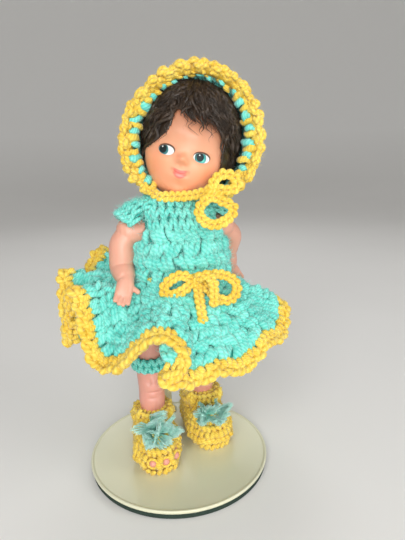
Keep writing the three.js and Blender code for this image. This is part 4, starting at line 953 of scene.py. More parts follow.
def makeCords():
    c, s = cordShape, skirtShape
    toward = np.array([0.0, -1.0, 0.15])
    headToward = headTurn @ toward
    routes = {}
    for first, place in (("chin", fromHead), ("waist", fromDoll)):
        knotAt = np.array(c[first + "Knot"])
        routes[first + "Knot"] = [tuple(place(knotAt))]
        for key in c:
            if key.startswith(first) and key != first + "Knot":
                routes[key] = [tuple(place(np.array(p) + knotAt)) for p in c[key]]
    knot = routes["chinKnot"]
    tie = routes["chinTieRight"] + knot + routes["chinUpper"][:-1] + knot + routes["chinLower"]
    chainCord("chinTie", tie, headToward, "head",
              ("chin_tie_right", "chin_bow_upper_loop", "chin_bow_lower_loop"))
    chainCord("chinTieEnd", routes["chinTieLeft"], headToward, "head", ("chin_tie_left",))
    knotWrap("chinKnot", np.array(knot[0]), "head", "chin_bow_knot")
    knot = routes["waistKnot"]
    chainCord("waistBowRight", routes["waistLong"][::-1] + knot + routes["waistRight"], toward, "torso",
              ("waist_bow_right_loop", "waist_bow_long_tail"))
    chainCord("waistBowLeft", routes["waistShort"][::-1] + knot + routes["waistLeft"], toward, "torso",
              ("waist_bow_left_loop", "waist_bow_short_tail"))
    knotWrap("waistKnot", np.array(knot[0]), "torso", "waist_bow_knot")
    turn = np.linspace(-np.pi / 2 + 0.12, 1.5 * np.pi - 0.12, 40)
    ring = fromDoll(ovalRing(turn, s["halfWidth"] - 1.4, s["halfDepth"] - 1.4, s["waist"] - 0.6, s["shift"]))
    chainCord("waistTie", [tuple(p) for p in ring], np.array([0.0, 0.0, 1.0]), "torso", ("waist_tie",))


makeCords()
print("cords ready")


# Bonnet, in the head's frame

headShape = {"width": 34.6, "depth": 35.6, "height": 39.0, "rise": 27.0, "hair": 2.1, "jaw": 2.6,
             "jawTaper": 0.04, "chinDrop": 3.1, "cheeks": 0.03}
bonnetShape = {
    "slack": 0.9, "shift": 0.9, "flare": 1.6, "front": -6.0, "startDeg": -44.0, "endDeg": 240.0,
    "frillWidth": 3.8, "waves": 20, "wave": 0.9, "droop": 1.9, "droopDeg": 138.0, "droopReach": 36.0,
    "rounds": (0.0, 0.11, 0.24, 0.38, 0.52, 0.66, 0.8, 0.93),
    "fuzz": (300000.0, 1.5), "frillFuzz": (300000.0, 1.2),  # fibres per m2, mm
}


def bonnetSizes():
    h, b = headShape, bonnetShape
    return (h["width"] / 2 + h["hair"] + b["slack"] + b["shift"], h["height"] / 2 + h["hair"] + b["slack"],
            h["rise"] + h["hair"] / 2, h["depth"] / 2 + h["hair"] + 3 * b["slack"])


def uprightRing(turn, a, c, y, rise):
    x = bonnetShape["shift"] + a * np.cos(turn)
    return fromHead(np.stack([x, y + 0 * turn, rise + c * np.sin(turn)], 1))


def bonnetPoint(u, v, grow=1.0):
    b = bonnetShape
    halfWidth, halfHeight, rise, deep = bonnetSizes()
    turn = np.radians(b["startDeg"] + (b["endDeg"] - b["startDeg"]) * np.asarray(u, float))
    back = min(0.999, math.sin(v * v * math.pi / 4 + v * math.pi / 4)) if v > 0 else v
    y = b["front"] + (deep + grow - b["front"]) * back
    roundness = math.sqrt(1 - max(0.0, (back - 0.25) / 0.75) ** 2)
    flare = b["flare"] * max(0.0, 1 - back / 0.2) ** 2
    a, c = (halfWidth + grow) * roundness + flare, (halfHeight + grow) * roundness + flare
    return uprightRing(turn, a, c, y, rise)


def frillPoint(u, v, depth=1.0):
    b = bonnetShape
    halfWidth, halfHeight, rise, _ = bonnetSizes()
    u = np.asarray(u, float)
    turn = np.radians(b["startDeg"] + (b["endDeg"] - b["startDeg"]) * u)
    near = np.clip(np.minimum(u, 1 - u) / 0.12, 0, 1)
    ends = 0.62 + 0.38 * near * near * (3 - 2 * near)
    wave = b["wave"] * (np.sin(2 * np.pi * b["waves"] * u) - 1) * v
    droop = b["droop"] * np.exp(-((np.degrees(turn) - b["droopDeg"]) / b["droopReach"]) ** 2)
    ripple = 0.45 * np.sin(2 * np.pi * b["waves"] * u + 1.0) * max(v, 0)
    out = b["flare"] - droop + ends * b["frillWidth"] * v + ripple
    y = b["front"] - gap - depth - math.sin(math.pi * min(v, 1.0)) + wave
    return uprightRing(turn, halfWidth + out, halfHeight + out, y, rise)


def makeBonnet():
    b = bonnetShape
    u = np.linspace(0, 1, 90)
    shell = newShell()
    addGrid(shell, np.stack([bonnetPoint(u, v) for v in np.linspace(0, 1, 30)], 1), flip=True)
    addCloth("bonnetCloth", shell, "head", aqua)
    crown = lambda a, v: bonnetPoint(1 - a, v, 1.2)
    rim = lambda a, v: frillPoint(1 - a, 1.0 - v)
    ridge = lambda a, v: frillPoint(1 - a, 1.0 - v, 1.6)

    def inner(a, v):
        top = np.exp(-((a - 0.5) / 0.17) ** 2)  # over the forehead the bars are shorter and further back
        upper, lower = (frillPoint(1 - a, w, 1.3 - 2.8 * top) for w in (0.3, -0.6))
        return upper + (lower - upper) * (v * (1 - 0.6 * top))[:, None]

    spots = rowsOn(crown, list(zip(b["rounds"][:-1], b["rounds"][1:])), pitch=3.3, size=(3.1, 5),
                   closed=False, spread=0.08, seed=31)
    vees = knit("bonnetStitches", "head", aqua, spots, veeBoth, "bonnet", uneven=0.1, seed=31)
    spots = rowsOn(rim, [(0.75, -0.25)], pitch=2.6, size=(1.75, 3.3), closed=False, spread=0.16, seed=32,
                   scallop=(0.6, 2.4), tiltDeg=90, depth=1.5)
    frill = knit("bonnetFrill", "head", yellow, spots, linkStitch, "bonnet_edging", uneven=0.16, seed=32)
    spots = rowsOn(ridge, [(0.86, 0.5)], pitch=3.4, size=(3, 2.0), closed=False, spread=0.16, seed=38,
                   depth=1.2, scallop=(0.4, 3.0))
    knit("bonnetFrillRope", "head", yellow, spots, ropeStitch, uneven=0.16, seed=38)
    spots = rowsOn(inner, [(0.0, 1.0)], pitch=2.5, size=(1.75, 6.0), closed=False, spread=0.18, seed=35,
                   scallop=(0.5, 3.0), depth=1.1)
    for name, colour, first in (("bonnetYellowBars", yellow, 0), ("bonnetAquaBars", aqua, 1)):
        chosen = {key: marks[first::2] for key, marks in spots.items()}
        knit(name, "head", colour, chosen, postStitch, uneven=0.26, seed=36 + first)
    shell = newShell()
    addGrid(shell, np.stack([frillPoint(u, v) for v in np.linspace(0, 0.8, 6)], 1))
    addCloth("bonnetFrillBand", shell, "head", yellow, 0.6)
    addFuzz("bonnetFuzz", vees, "head", aqua, *b["fuzz"], seed=33)
    addFuzz("frillFuzz", frill, "head", yellow, *b["frillFuzz"], seed=34)


makeBonnet()
print("bonnet ready")


# Head: relief as [height, x, z, reach x, reach z, on both sides], in shares of the head's halves

headRelief = [
    (0.15, 0, -0.345, 0.105, 0.085, False), (0.03, 0.09, -0.395, 0.06, 0.05, True),
    (-0.02, 0.06, -0.45, 0.035, 0.022, True), (0.07, 0.46, -0.56, 0.3, 0.22, True),
    (0.075, 0, -0.88, 0.24, 0.14, False), (-0.02, 0, -0.755, 0.15, 0.045, False),
    (0.03, 0, 0.12, 0.5, 0.15, False), (-0.045, 0.4, -0.246, 0.2, 0.12, True),
    (0.028, 0.41, -0.246, 0.13, 0.09, True), (0.015, 0.41, -0.136, 0.17, 0.03, True),
    (0.03, 0, -0.62, 0.19, 0.09, False), (0.014, 0.06, -0.575, 0.07, 0.025, True),
    (0.034, 0, -0.655, 0.12, 0.04, False), (-0.02, 0, -0.608, 0.13, 0.013, False),
    (-0.01, 0.17, -0.585, 0.05, 0.03, True),
]


def smoothstep(x, low, high):
    share = np.clip((x - low) / (high - low), 0, 1)
    return share * share * (3 - 2 * share)


def ringAt(fall):
    z, power = np.cos(fall), headShape["jaw"]
    # fuller than round below the middle
    return np.where(z < 0, (1 - np.abs(z) ** power) ** (1 / power), np.sin(fall))


def faceSpot(x, z):
    c, s = math.cos(math.radians(face["turnDeg"])), math.sin(math.radians(face["turnDeg"]))
    x, z = x + face["shift"], z - face["middle"]
    return x * c - z * s, x * s + z * c + face["middle"]


def headPoint(turn, fall):
    h = headShape
    nx, ny, nz = ringAt(fall) * np.cos(turn), ringAt(fall) * np.sin(turn), np.cos(fall)
    fx, fz = faceSpot(nx * h["width"] / 2, nz * h["height"] / 2 + h["rise"])
    fx, fz = fx * 2 / h["width"], (fz - h["rise"]) * 2 / h["height"]
    jaw = smoothstep(-nz, 0.2, 1.0)
    front = smoothstep(-ny, 0.2, 0.6)
    relief = np.zeros_like(nx)
    for height, x, z, rx, rz, both in headRelief:
        for side in ((1, -1) if both else (1,)):
            relief += height * np.exp(-((fx - side * x) / rx) ** 2 - ((fz - z) / rz) ** 2)
    chin = smoothstep(-nz, 0.3, 1.0) * smoothstep(-ny, -0.3, 0.4)
    full = 1 - h["jawTaper"] * jaw + h["cheeks"] * np.exp(-((nz + 0.5) / 0.3) ** 2) * front
    high = nz * (h["height"] / 2 + h["chinDrop"] * chin) + h["rise"]
    return np.stack([nx * full * h["width"] / 2, (ny - front * relief) * h["depth"] / 2, high], -1)


face = {
    "shift": 0.55, "middle": 20.0, "turnDeg": 2.0,  # where the face sits on the head
    "eye": (6.6, 22.1), "eyeWide": 2.95, "eyeTall": 1.8, "glance": (-1.15, -0.4), "iris": 1.75, "pupil": 1.4,
    "mouth": 15.1,
    "colours": {
        "skin": (0.84, 0.41, 0.24, 1), "warm": (0.86, 0.43, 0.27, 1), "blush": (0.87, 0.29, 0.13, 1),
        "foreheadPaintedShade": (0.4, 0.15, 0.075, 1), "lid": (0.62, 0.24, 0.13, 1), "lash": (0.05, 0.025, 0.015, 1),
        "white": (0.76, 0.81, 0.79, 1), "irisRim": (0.01, 0.1, 0.1, 1), "irisRight": (0.03, 0.17, 0.18, 1),
        "irisLeft": (0.03, 0.31, 0.3, 1), "irisLight": (0.22, 0.72, 0.62, 1),
        "pupil": (0.003, 0.012, 0.014, 1),
        "glint": (0.9, 0.93, 0.93, 1), "lip": (0.82, 0.13, 0.1, 1), "lipPaintedHighlight": (0.93, 0.34, 0.3, 1),
        "lipLine": (0.55, 0.07, 0.045, 1), "mouthCornerPaintedShade": (0.6, 0.2, 0.1, 1),
    },
}


def faceFinish():
    colours = face["colours"]
    made, tree, shader = newMaterial("faceSkin", 0.4, softSkin(0.1, 0.001))
    plan = addNode(tree, "ShaderNodeAttribute", attribute_name="facePlan").outputs["Vector"]
    x, depth, z = addNode(tree, "ShaderNodeSeparateXYZ", {0: plan}).outputs
    front = ramp(tree, depth, -6.0, -9.0)
    coat = mixColour(tree, noise(tree, plan, 0.09, 2.0), colours["skin"], colours["warm"])

    def oval(cx, cz, rx, rz, soft, within=front, height=z):
        a = calc(tree, "MULTIPLY_ADD", x, 1 / rx, -cx / rx)
        b = calc(tree, "MULTIPLY_ADD", height, 1 / rz, -cz / rz)
        far = calc(tree, "SQRT", weighted(tree, a, a, b, b))
        mask = ramp(tree, far, 1 + soft, 1 - soft, interpolation_type="SMOOTHSTEP")
        return calc(tree, "MULTIPLY", mask, within)

    def paint(colour, mask, share=1.0):
        nonlocal coat
        coat = mixColour(tree, calc(tree, "MULTIPLY", mask, share), coat, colours[colour])

    for side in (-1, 1):
        paint("blush", oval(9.8 * side, 15.5, 6.5, 5.5, 0.95), 0.6)
    paint("blush", oval(0, 9.2, 6.0, 3.8, 0.9), 0.5)
    paint("blush", oval(0, 20.2, 2.8, 2.2, 0.9), 0.45)
    # Painted shade over the upper face, darker towards the hair and bonnet above.
    paint("foreheadPaintedShade", ramp(tree, z, 19.0, 37.0), 0.85)
    ex, ez = face["eye"]
    w, t = face["eyeWide"], face["eyeTall"]
    for side, tint in ((-1, "irisRight"), (1, "irisLeft")):
        cx = ex * side
        iris, reach = cx + face["glance"][side > 0], face["iris"] + 0.12 * (side + 1)
        white = oval(cx, ez - 0.08, w, t - 0.1, 0.05)
        paint("lid", oval(cx, ez, w + 0.8, t + 0.8, 0.35), 0.45)
        paint("lash", oval(cx + 0.1, ez + 0.34, w + 0.24, t + 0.1, 0.06), 0.9)
        paint("white", white)
        paint("irisRim", oval(iris, ez, reach + 0.1, reach + 0.2, 0.06, white))
        paint(tint, oval(iris + 0.3, ez - 0.3, reach - 0.1, reach - 0.1, 0.12, white))
        paint("irisLight", oval(iris + 0.7, ez - 0.75, 0.95, 0.8, 0.6, white), 0.35 + 0.35 * side)
        paint("pupil", oval(iris - 0.12, ez + 0.15, face["pupil"], face["pupil"] + 0.15, 0.1, white))
        paint("glint", oval(iris - 0.45, ez + 0.85, 0.24, 0.24, 0.3, white), 0.8)
    m = face["mouth"]
    smile = calc(tree, "MULTIPLY_ADD", calc(tree, "MULTIPLY", x, x), -0.11, z)  # its corners turn up
    for cx, cz, rx, rz in ((-0.9, m + 0.4, 1.75, 0.62), (0.9, m + 0.4, 1.75, 0.62), (0, m - 0.75, 2.45, 1.3)):
        paint("lip", oval(cx, cz, rx, rz, 0.3, front, smile), 0.9)
    # Painted highlight on the lower lip.
    paint("lipPaintedHighlight", oval(0.1, m - 0.7, 1.7, 0.6, 0.6, front, smile), 0.75)
    off = calc(tree, "ABSOLUTE", calc(tree, "SUBTRACT", smile, m - 0.02))
    paint("lipLine", oval(0, m + 0.3, 3.0, 1.5, 0.3, ramp(tree, off, 0.26, 0.05)), 0.6)
    # Painted shade in the creases at the corners of the mouth.
    for side in (-1, 1):
        paint("mouthCornerPaintedShade", oval(3.1 * side, m + 0.95, 0.6, 0.6, 0.8), 0.5)
    setColour(tree, shader, coat)
    bump(tree, shader, noise(tree, plan, 0.9), 0.05, 0.2)
    return made


def makeHead():
    turn, fall = np.meshgrid(fullTurn(280), np.linspace(0.001, np.pi - 0.001, 230), indexing="ij")
    shell = newShell()
    addRound(shell, headPoint(turn, fall), fromHead, flip=True)
    seat = doll["neckJoint"] - doll["neck"]
    throat = [(0.01, seat - 0.9), (6.3, seat - 0.9), (6.5, seat - 0.6), (6.55, seat + 0.6), (6.8, 3.2),
              (7.2, 5.2), (8.0, 8.0), (9.4, 10.5), (0.01, 12)]
    addRound(shell, np.stack([ovalRing(fullTurn(64), r, r, z) for r, z in throat], 1), fromHead)
    piece = makePiece("dollHead", shell, faceFinish())
    plan = (np.concatenate(shell["verts"]) - headAt) @ headTurn
    plan[:, 0], plan[:, 2] = faceSpot(plan[:, 0], plan[:, 2])
    layer = piece.data.attributes.new("facePlan", "FLOAT_VECTOR", "POINT")
    layer.data.foreach_set("vector", plan.astype(np.float32).ravel())
    dress(piece, "head", "vinyl", "head")


makeHead()
print("head ready")


# Hair: rooted locks over a thin cap, parted a little to one side

hairShape = {
    "locks": 600, "strands": 520, "strays": 130, "seed": 8, "part": -0.35, "cut": 12.0, "curl": 0.1,
    "halves": (18.7, 19.2, 21.5), "rise": 28.2, "shift": 0.7,
    "window": [(-0.9, -1.3), (-0.87, -0.6), (-0.84, -0.48), (-0.79, -0.29), (-0.62, -0.13), (-0.45, 0.02),
               (-0.37, 0.16), (-0.36, 0.3), (-0.32, 0.45), (-0.14, 0.42), (0.03, 0.4), (0.3, 0.43),
               (0.48, 0.38), (0.64, 0.26), (0.71, 0.04), (0.72, -0.2), (0.75, -0.42), (0.73, -0.6),
               (0.7, -0.85), (0.68, -1.3)],
}


def inWindow(points, grow=1.0):
    x = points[:, 0] / (headShape["width"] / 2)
    z = (points[:, 2] - headShape["rise"]) / (headShape["height"] / 2)
    x, z = x / grow, (z + 0.4) / grow - 0.4
    ring = hairShape["window"]
    inside = np.zeros(len(points), bool)
    for (xa, za), (xb, zb) in zip(ring, ring[1:] + ring[:1]):
        crosses = ((za > z) != (zb > z)) & (x < (xb - xa) * (z - za) / ((zb - za) or 1e-9) + xa)
        inside ^= crosses
    return inside & (points[:, 1] < 0)


def hairFinish():
    made, tree, shader = newMaterial("brownHair", 0.3)
    spot, u, v = textureSpots(tree)
    strands = addNode(tree, "ShaderNodeCombineXYZ", {
        0: calc(tree, "MULTIPLY", u, 22.0), 1: calc(tree, "MULTIPLY", v, 0.12)})
    lines = noise(tree, strands.outputs[0], 1.0)
    share = ramp(tree, weighted(tree, lines, 0.7, noise(tree, spot, 220.0, 2.0), 0.4), 0.4, 0.75)
    setColour(tree, shader, mixColour(tree, share, (0.008, 0.005, 0.003, 1), (0.08, 0.048, 0.028, 1)))
    bump(tree, shader, lines, 0.7, 0.4)
    return made


def lockPath(rng, lift, longer, over, frizz):
    h = hairShape
    a, b, c = (s + lift for s in h["halves"])
    front = rng.uniform(-math.pi, math.pi)
    fall = math.acos(rng.uniform(0.1, 1.0)) * rng.uniform(0.25, 0.95)
    away = 1.0 if front > h["part"] else -1.0
    bend = away * rng.uniform(0.25, 0.7) * max(0.0, 1 - abs(front) / 1.7)
    side, beat = rng.uniform(0, 6.28, 2)
    curl = h["curl"] * rng.uniform(0.4, 1.2)
    reach = rng.uniform(12, 22) * longer
    points = []
    run, left = 0.0, over
    while run < reach and left > 0:
        swing = front + bend * (run / 12) ** 2 + curl * math.sin(run * 0.7 * frizz + side) * min(1.0, run / 4)
        ring = float(ringAt(fall))
        puff = 1 + 0.03 * math.sin(run * 0.9 * frizz + beat)
        way = np.array([a * ring * math.sin(swing), -b * ring * math.cos(swing), c * math.cos(fall)])
        spot = way * puff + np.array([h["shift"], 0, h["rise"]])
        points.append(spot)
        if spot[2] < h["cut"]:
            break
        if run > 3 and inWindow(spot[None])[0]:
            left -= 0.7
        run += 0.7
        fall += 0.7 / 20.5
    return np.array(points)


def makeHair():
    h = hairShape
    finish = hairFinish()
    turn, fall = np.meshgrid(fullTurn(200), np.linspace(0.01, 2.5, 110), indexing="ij")
    a, b, c = (s - 0.5 for s in h["halves"])
    ring = ringAt(fall)
    grid = ovalRing(turn, a * ring, b * ring, c * np.cos(fall) + h["rise"], h["shift"])
    shell = newShell()
    addRound(shell, grid, fromHead, flip=True)
    middles = grid.reshape(-1, 3)[np.array(shell["faces"])].mean(1)
    outside = ~inWindow(middles, 1.09) & (middles[:, 2] > h["cut"])  # the locks reach past the cap
    keepFaces(shell, np.nonzero(outside)[0])
    dress(thicken(makePiece("hairCap", shell, finish), 0.4, -1), "head", "hair", "hair")
    rng = np.random.default_rng(h["seed"])
    shell = newShell()
    share = np.linspace(0, 1, 14)
    for kind, thin, fat, lift, longer, over, frizz in (
            ("locks", 0.4, 0.85, (-0.3, 0.45), 1.0, (0.5, 2.4), 1.0),
            ("strands", 0.1, 0.24, (0.2, 1.0), 1.1, (0.8, 4.4), 1.6),
            ("strays", 0.05, 0.09, (0.0, 0.9), 1.3, (2.0, 6.5), 1.3)):
        made = 0
        while made < h[kind]:
            path = lockPath(rng, rng.uniform(*lift), longer, rng.uniform(*over), frizz)
            if len(path) < 8:
                continue
            width = rng.uniform(thin, fat) * np.interp(share, [0, 0.15, 0.6, 1], [0.45, 1, 0.8, 0.1])
            addStrand(shell, smoothPath(fromHead(path), 14), width, 6 if kind == "locks" else 4, 0.65)
            made += 1
    dress(makePiece("hairLocks", shell, finish), "head", "hair")


makeHair()
print("hair ready")


# Limbs: stations are [x, y, z, half width, half depth]

def addLimb(shell, stations, place, sides=28, count=60):
    fine = smoothPath(stations, count)
    middle = fine[:, :3]
    along = unit(np.gradient(middle, axis=0))
    across = unit(np.array([1.0, 0, 0]) - along * along[:, :1])
    third = np.cross(along, across)
    turn = fullTurn(sides)
    rings = (middle[:, None] + across[:, None] * (fine[:, 3:4] * np.cos(turn))[..., None]
             + third[:, None] * (fine[:, 4:5] * np.sin(turn))[..., None])
    ends = [np.repeat(middle[k][None], sides, 0)[None] for k in (0, -1)]
    rings = np.concatenate([ends[0], rings, ends[1]])
    addRound(shell, rings.transpose(1, 0, 2), place)


def addCapsule(shell, start, end, radius, place, sides=12):
    way = unit(end - start)
    steps = [(-1.0, 0.05), (-0.9, 0.45), (-0.6, 0.8), (0, 1.0)]
    path = [start + way * radius * s for s, _ in steps] + [end + way * radius * -s for s, _ in steps[::-1]]
    size = [r for _, r in steps] + [r for _, r in steps[::-1]]
    addStrand(shell, place(np.array(path)), np.array(size) * radius, sides)


def addTurnedOnX(shell, profile, centre, place, sides=40):
    turn = fullTurn(sides)
    rows = [np.stack([x + 0 * turn, r * np.cos(turn), r * np.sin(turn)], 1) + centre for r, x in profile]
    addRound(shell, np.stack(rows, 1), place)


def pressDents(piece, dents):
    spots, normals = readSpots(piece.data), normalsOf(piece.data)
    for at, reach, deep in dents:
        far = (spots - np.array(at)) / np.array(reach)
        spots -= normals * (deep * np.exp(-(far ** 2).sum(1)))[:, None]
    writeSpots(piece.data, spots)


armShape = {
    "seat": 13.7, "shoulder": 5.4, "finger": 0.86, "pitch": 1.72, "lengths": (0.82, 1, 0.96, 0.76),
    "thumb": 1.1,
    "right": ((9.2, 0.3, -5), (9.8, 0.2, -14.6), (9.4, -7.6, -18.6), (13, -14.6, -25.8)),
    "left": ((11.8, 4.6, -5), (11.6, 9.6, -14), (14.2, 11.6, -21.8), (19.8, 13, -29.6)),
}


def makeArm(name, node, side, bend):
    seat, r = armShape["seat"], armShape["shoulder"]
    place = lambda p: shoulderAt + np.asarray(p) * np.array([side, 1, 1])
    upper, elbow, wrist, tip = (np.array(p) + np.array([seat, 0, 0]) for p in bend)
    shell = newShell()
    addTurnedOnX(shell, [(0.01, seat), (r - 0.4, seat), (r, seat + 1), (r, seat + 6), (r * 0.93, seat + 8),
                         (r * 0.72, seat + 9.9), (r * 0.4, seat + 10.9), (0.01, seat + 11.2)], np.zeros(3),
                         place)
    mid = lambda a, b, s: a + (b - a) * s
    stations = [(seat + 5.4, 0, 2, 2, 2.6), (seat + 6, 0, 0, 4, 4.6), (*upper, 4.9, 5.1),
                (*mid(upper, elbow, 0.55), 5.2, 5.1), (*elbow, 5, 4.9), (*mid(elbow, wrist, 0.5), 4.5, 4.4),
                (*mid(elbow, wrist, 0.84), 3.75, 3.6), (*wrist, 3.05, 2.8),
                (*mid(wrist, tip, 0.14), 3.5, 2.7), (*mid(wrist, tip, 0.38), 3.55, 2.1),
                (*mid(wrist, tip, 0.55), 3.2, 1.5), (*mid(wrist, tip, 0.7), 2.5, 0.8)]
    addLimb(shell, stations, place)
    along = unit(tip - wrist)
    across = unit(np.array([1.0, 0, 0]) - along * along[0])
    root = mid(wrist, tip, 0.5)
    reach = np.linalg.norm(tip - root)
    for i, share in enumerate(armShape["lengths"]):
        start = root + across * armShape["pitch"] * (i - 1.5)
        addCapsule(shell, start, start + along * reach * share, armShape["finger"], place)
    start = mid(wrist, tip, 0.2) - across * 2
    addCapsule(shell, start, start - across * 3.2 + along * 1.8, armShape["thumb"], place)
    piece = meltTogether(makePiece(name, shell, armSkin), voxel=0.26, rounds=4)
    dress(piece, node, "vinyl", node)


legShape = {
    "centre": 12.4, "hip": 57.0, "cuff": 20.0, "sole": 2.9, "seat": 6.3, "disc": 10.0, "bulge": 10.0,
    "thigh": 5.9, "ankle": 5.2,
    "stride": {"right": -3.0, "left": 5.0},
    "dent": 1.6,
    "dents": [(-1.9, 1.5, 1.0, 1.3, 0.45), (1.9, 1.5, 1.0, 1.3, 0.45), (0, -3.2, 3.4, 0.55, 0.35),
              (1.2, -6.0, 2.6, 0.5, 0.25)],
    "foot": [(9.6, 3.4, 6), (8, 5, 8.2), (4, 6.2, 10.4), (-2, 6.6, 11), (-8, 7.6, 9.4), (-13, 8, 7.8),
             (-16.6, 7, 6.6), (-18.8, 4.6, 5)],
    "toes": [(-4.3, 1.4), (-1.6, 1.6), (1.4, 1.7), (4.4, 1.8)],
}


def footRings(stride, grow, sides=36):
    s = legShape
    rows = smoothPath(s["foot"], 40)
    rings = []
    for k, (along, half, high) in enumerate(rows):
        y = stride + along + (grow if k == 0 else -grow if k == len(rows) - 1 else 0)
        rise = s["hip"] - math.sqrt(s["hip"] ** 2 - y * y) if y > 0 else 0
        bottom = s["sole"] - grow + rise
        top = max(s["sole"] + high + grow, bottom + 3)
        middle = bottom + 0.4 * (top - bottom)
        turn = fullTurn(sides)
        wave = np.sin(turn)
        under = (middle - bottom) * np.abs(wave) ** 0.6
        z = np.where(wave > 0, middle + (top - middle) * wave, middle - under)
        rings.append(ovalRing(turn, half + grow, 0, z, s["centre"], y))
    ends = [np.repeat(r.mean(0)[None], sides, 0) for r in (rings[0], rings[-1])]
    return np.stack([ends[0]] + rings + [ends[1]], 1)


def makeLeg(name, node, side, stride):
    s = legShape
    place = lambda p: doll["at"] + np.asarray(p) * np.array([side, 1, 1])
    shell = newShell()
    r, seat, b = s["disc"], s["seat"], s["bulge"]
    addTurnedOnX(shell, [(0.01, seat), (r - 0.6, seat), (r, seat + 0.8), (r, seat + 2),
                         (r * 0.9, seat + 0.48 * b), (r * 0.66, seat + 0.8 * b), (r * 0.3, seat + b - 0.4),
                         (0.01, seat + b)], np.array([0, 0, s["hip"]]), place)
    t = s["thigh"]
    thigh = [(0, 0, t - 1.2, t + 0.6), (0.25, 0, t - 0.7, t + 0.6), (0.43, 0, t, t + 0.4),
             (0.6, 0, t, t + 0.2), (0.72, -0.5, t - 0.2, t + 0.2), (0.83, 0, t - 0.4, t - 0.1),
             (0.94, 0, t - 0.3, t - 0.1), (1.1, 0, s["ankle"] - gap, s["ankle"] - gap)]
    long = s["hip"] - s["cuff"]
    stations = [(s["centre"], stride * f + bulge, s["hip"] - f * long, a, d) for f, bulge, a, d in thigh]
    addLimb(shell, stations, place)
    addRound(shell, footRings(stride, -gap), place)
    r = s["ankle"]
    ankle = [(0.4, s["sole"] + 4, r - 1), (0.2, s["sole"] + 9, r), (0, s["cuff"] - 2, r - gap)]
    addLimb(shell, [(s["centre"], stride + back, z, half, r) for back, z, half in ankle], place, count=12)
    for x, size in s["toes"]:
        y = stride - 17.9 + 0.05 * x * x
        base = np.array([s["centre"] - x, y, s["sole"] + size + 0.3])
        addCapsule(shell, base + np.array([0, 3.0, 0]), base - np.array([0, 1.3, 0]), size * 0.95, place)
    piece = meltTogether(makePiece(name, shell, legSkin), voxel=0.32, rounds=4)
    knee = s["hip"] - 0.7 * long
    ahead = stride * 0.7 - t - 0.6
    pressDents(piece, [(tuple(place((s["centre"] + x, ahead, knee + z))), (wide, 3, tall), s["dent"] * deep)
                       for x, z, wide, tall, deep in s["dents"]])
    dress(piece, node, "vinyl", node)


makeArm("rightArm", "right_arm", -1, armShape["right"])
makeArm("leftArm", "left_arm", 1, armShape["left"])
makeLeg("rightLeg", "right_leg", -1, legShape["stride"]["right"])
makeLeg("leftLeg", "left_leg", 1, legShape["stride"]["left"])
paintNode("torso", armSkin)
print("limbs ready")


# Booties: rounds of stitches that run along the sole, found by looking in at the boot from outside

bootShape = {
    "cuffTube": 1.9, "pitch": 2.05, "bead": (1.7, 5.2), "dome": 2.6, "tuft": (25.0, 12.0, 23.0), "petals": 20,
    "fibres": 48,
    "fuzz": (300000.0, 1.2),  # fibres per m2, mm
    "narrow": {"right": 0.9, "left": 0.95}, "slip": {"right": 1.2, "left": 0.0}, "settle": 0.72,
    "settleFrom": 9.0,
    "toes": {"right": (-27, 2, 34), "left": ()},  # degrees from straight ahead, where toes show
    # tuft: ahead of the ankle, above the sole
    "toe": 1.55, "toeRise": 5.6, "tuftAt": {"right": (-12.7, 10.4), "left": (-13.8, 10.7)},
}


def copyNode(name, node, material, voxel, rounds, shrink):
    mesh = cadNodes[node].data.copy()
    mesh.transform(cadNodes[node].matrix_world)
    mesh.materials.clear()
    mesh.materials.append(material)
    piece = meltTogether(linkPiece(name, mesh), voxel, rounds)
    writeSpots(piece.data, readSpots(piece.data) - normalsOf(piece.data) * shrink)
    return piece


def settled(z):
    start = bootShape["settleFrom"]
    return np.where(z > start, start + (z - start) * bootShape["settle"], z)


def reshapeBoot(piece, centre, tag):
    b = bootShape
    local = readSpots(piece.data) - centre
    off = (local[:, 0] / 8.0) ** 2 + ((local[:, 2] - 5.0) / 6.5) ** 2
    ahead = -local[:, 1]
    local[:, 1] += b["dome"] * np.minimum(off, 1.5) * smoothstep(ahead, 11.0, 19.0)
    local[:, 0] = local[:, 0] * b["narrow"][tag] - b["slip"][tag] * smoothstep(ahead, 4.0, 14.0)
    local[:, 2] = settled(local[:, 2])
    writeSpots(piece.data, local + centre)


def addTuft(shell, middle, root, rng):
    a, b, c = (v / 2 for v in bootShape["tuft"])
    for k in range(bootShape["petals"]):
        turn = 2 * np.pi * (k + rng.uniform(-0.3, 0.3)) / bootShape["petals"] * 3
        low = max(0.0, -math.sin(turn))
        ahead = -rng.uniform(0.1, 1.6) - 1.2 * low
        way = unit(np.array([math.cos(turn), ahead, 0.85 * math.sin(turn) * (1 - 0.65 * low) + 0.08]))
        # the lower petals lie over the toes
        tip = middle + way * np.array([a, b + 2.5 * low, c]) * rng.uniform(0.82, 1.05)
        # petals show their broad side
        flat = unit(np.cross(way, np.array([0, -0.8, 0.6]) + rng.normal(0, 0.35, 3)))
        third = np.cross(way, flat)
        start = root + rng.normal(0, 0.8, 3) * np.array([2.4, 0.5, 0.8])
        bend = flat * rng.normal(0, 1.2)
        for _ in range(bootShape["fibres"]):
            across, deep = rng.uniform(-1.7, 1.7), rng.normal(0, 1)
            far = rng.uniform(0.92, 1.04) - 0.1 * across ** 2  # a rounded end
            path = [start + rng.normal(0, 0.35, 3),
                    start + (tip - start) * 0.55 + flat * across * 1.25 + third * deep * 0.3 + bend,
                    start + (tip - start) * far + flat * across * 1.45 + third * deep * 0.45]
            addStrand(shell, smoothPath(path, 6), np.linspace(0.17, 0.08, 6), 3)


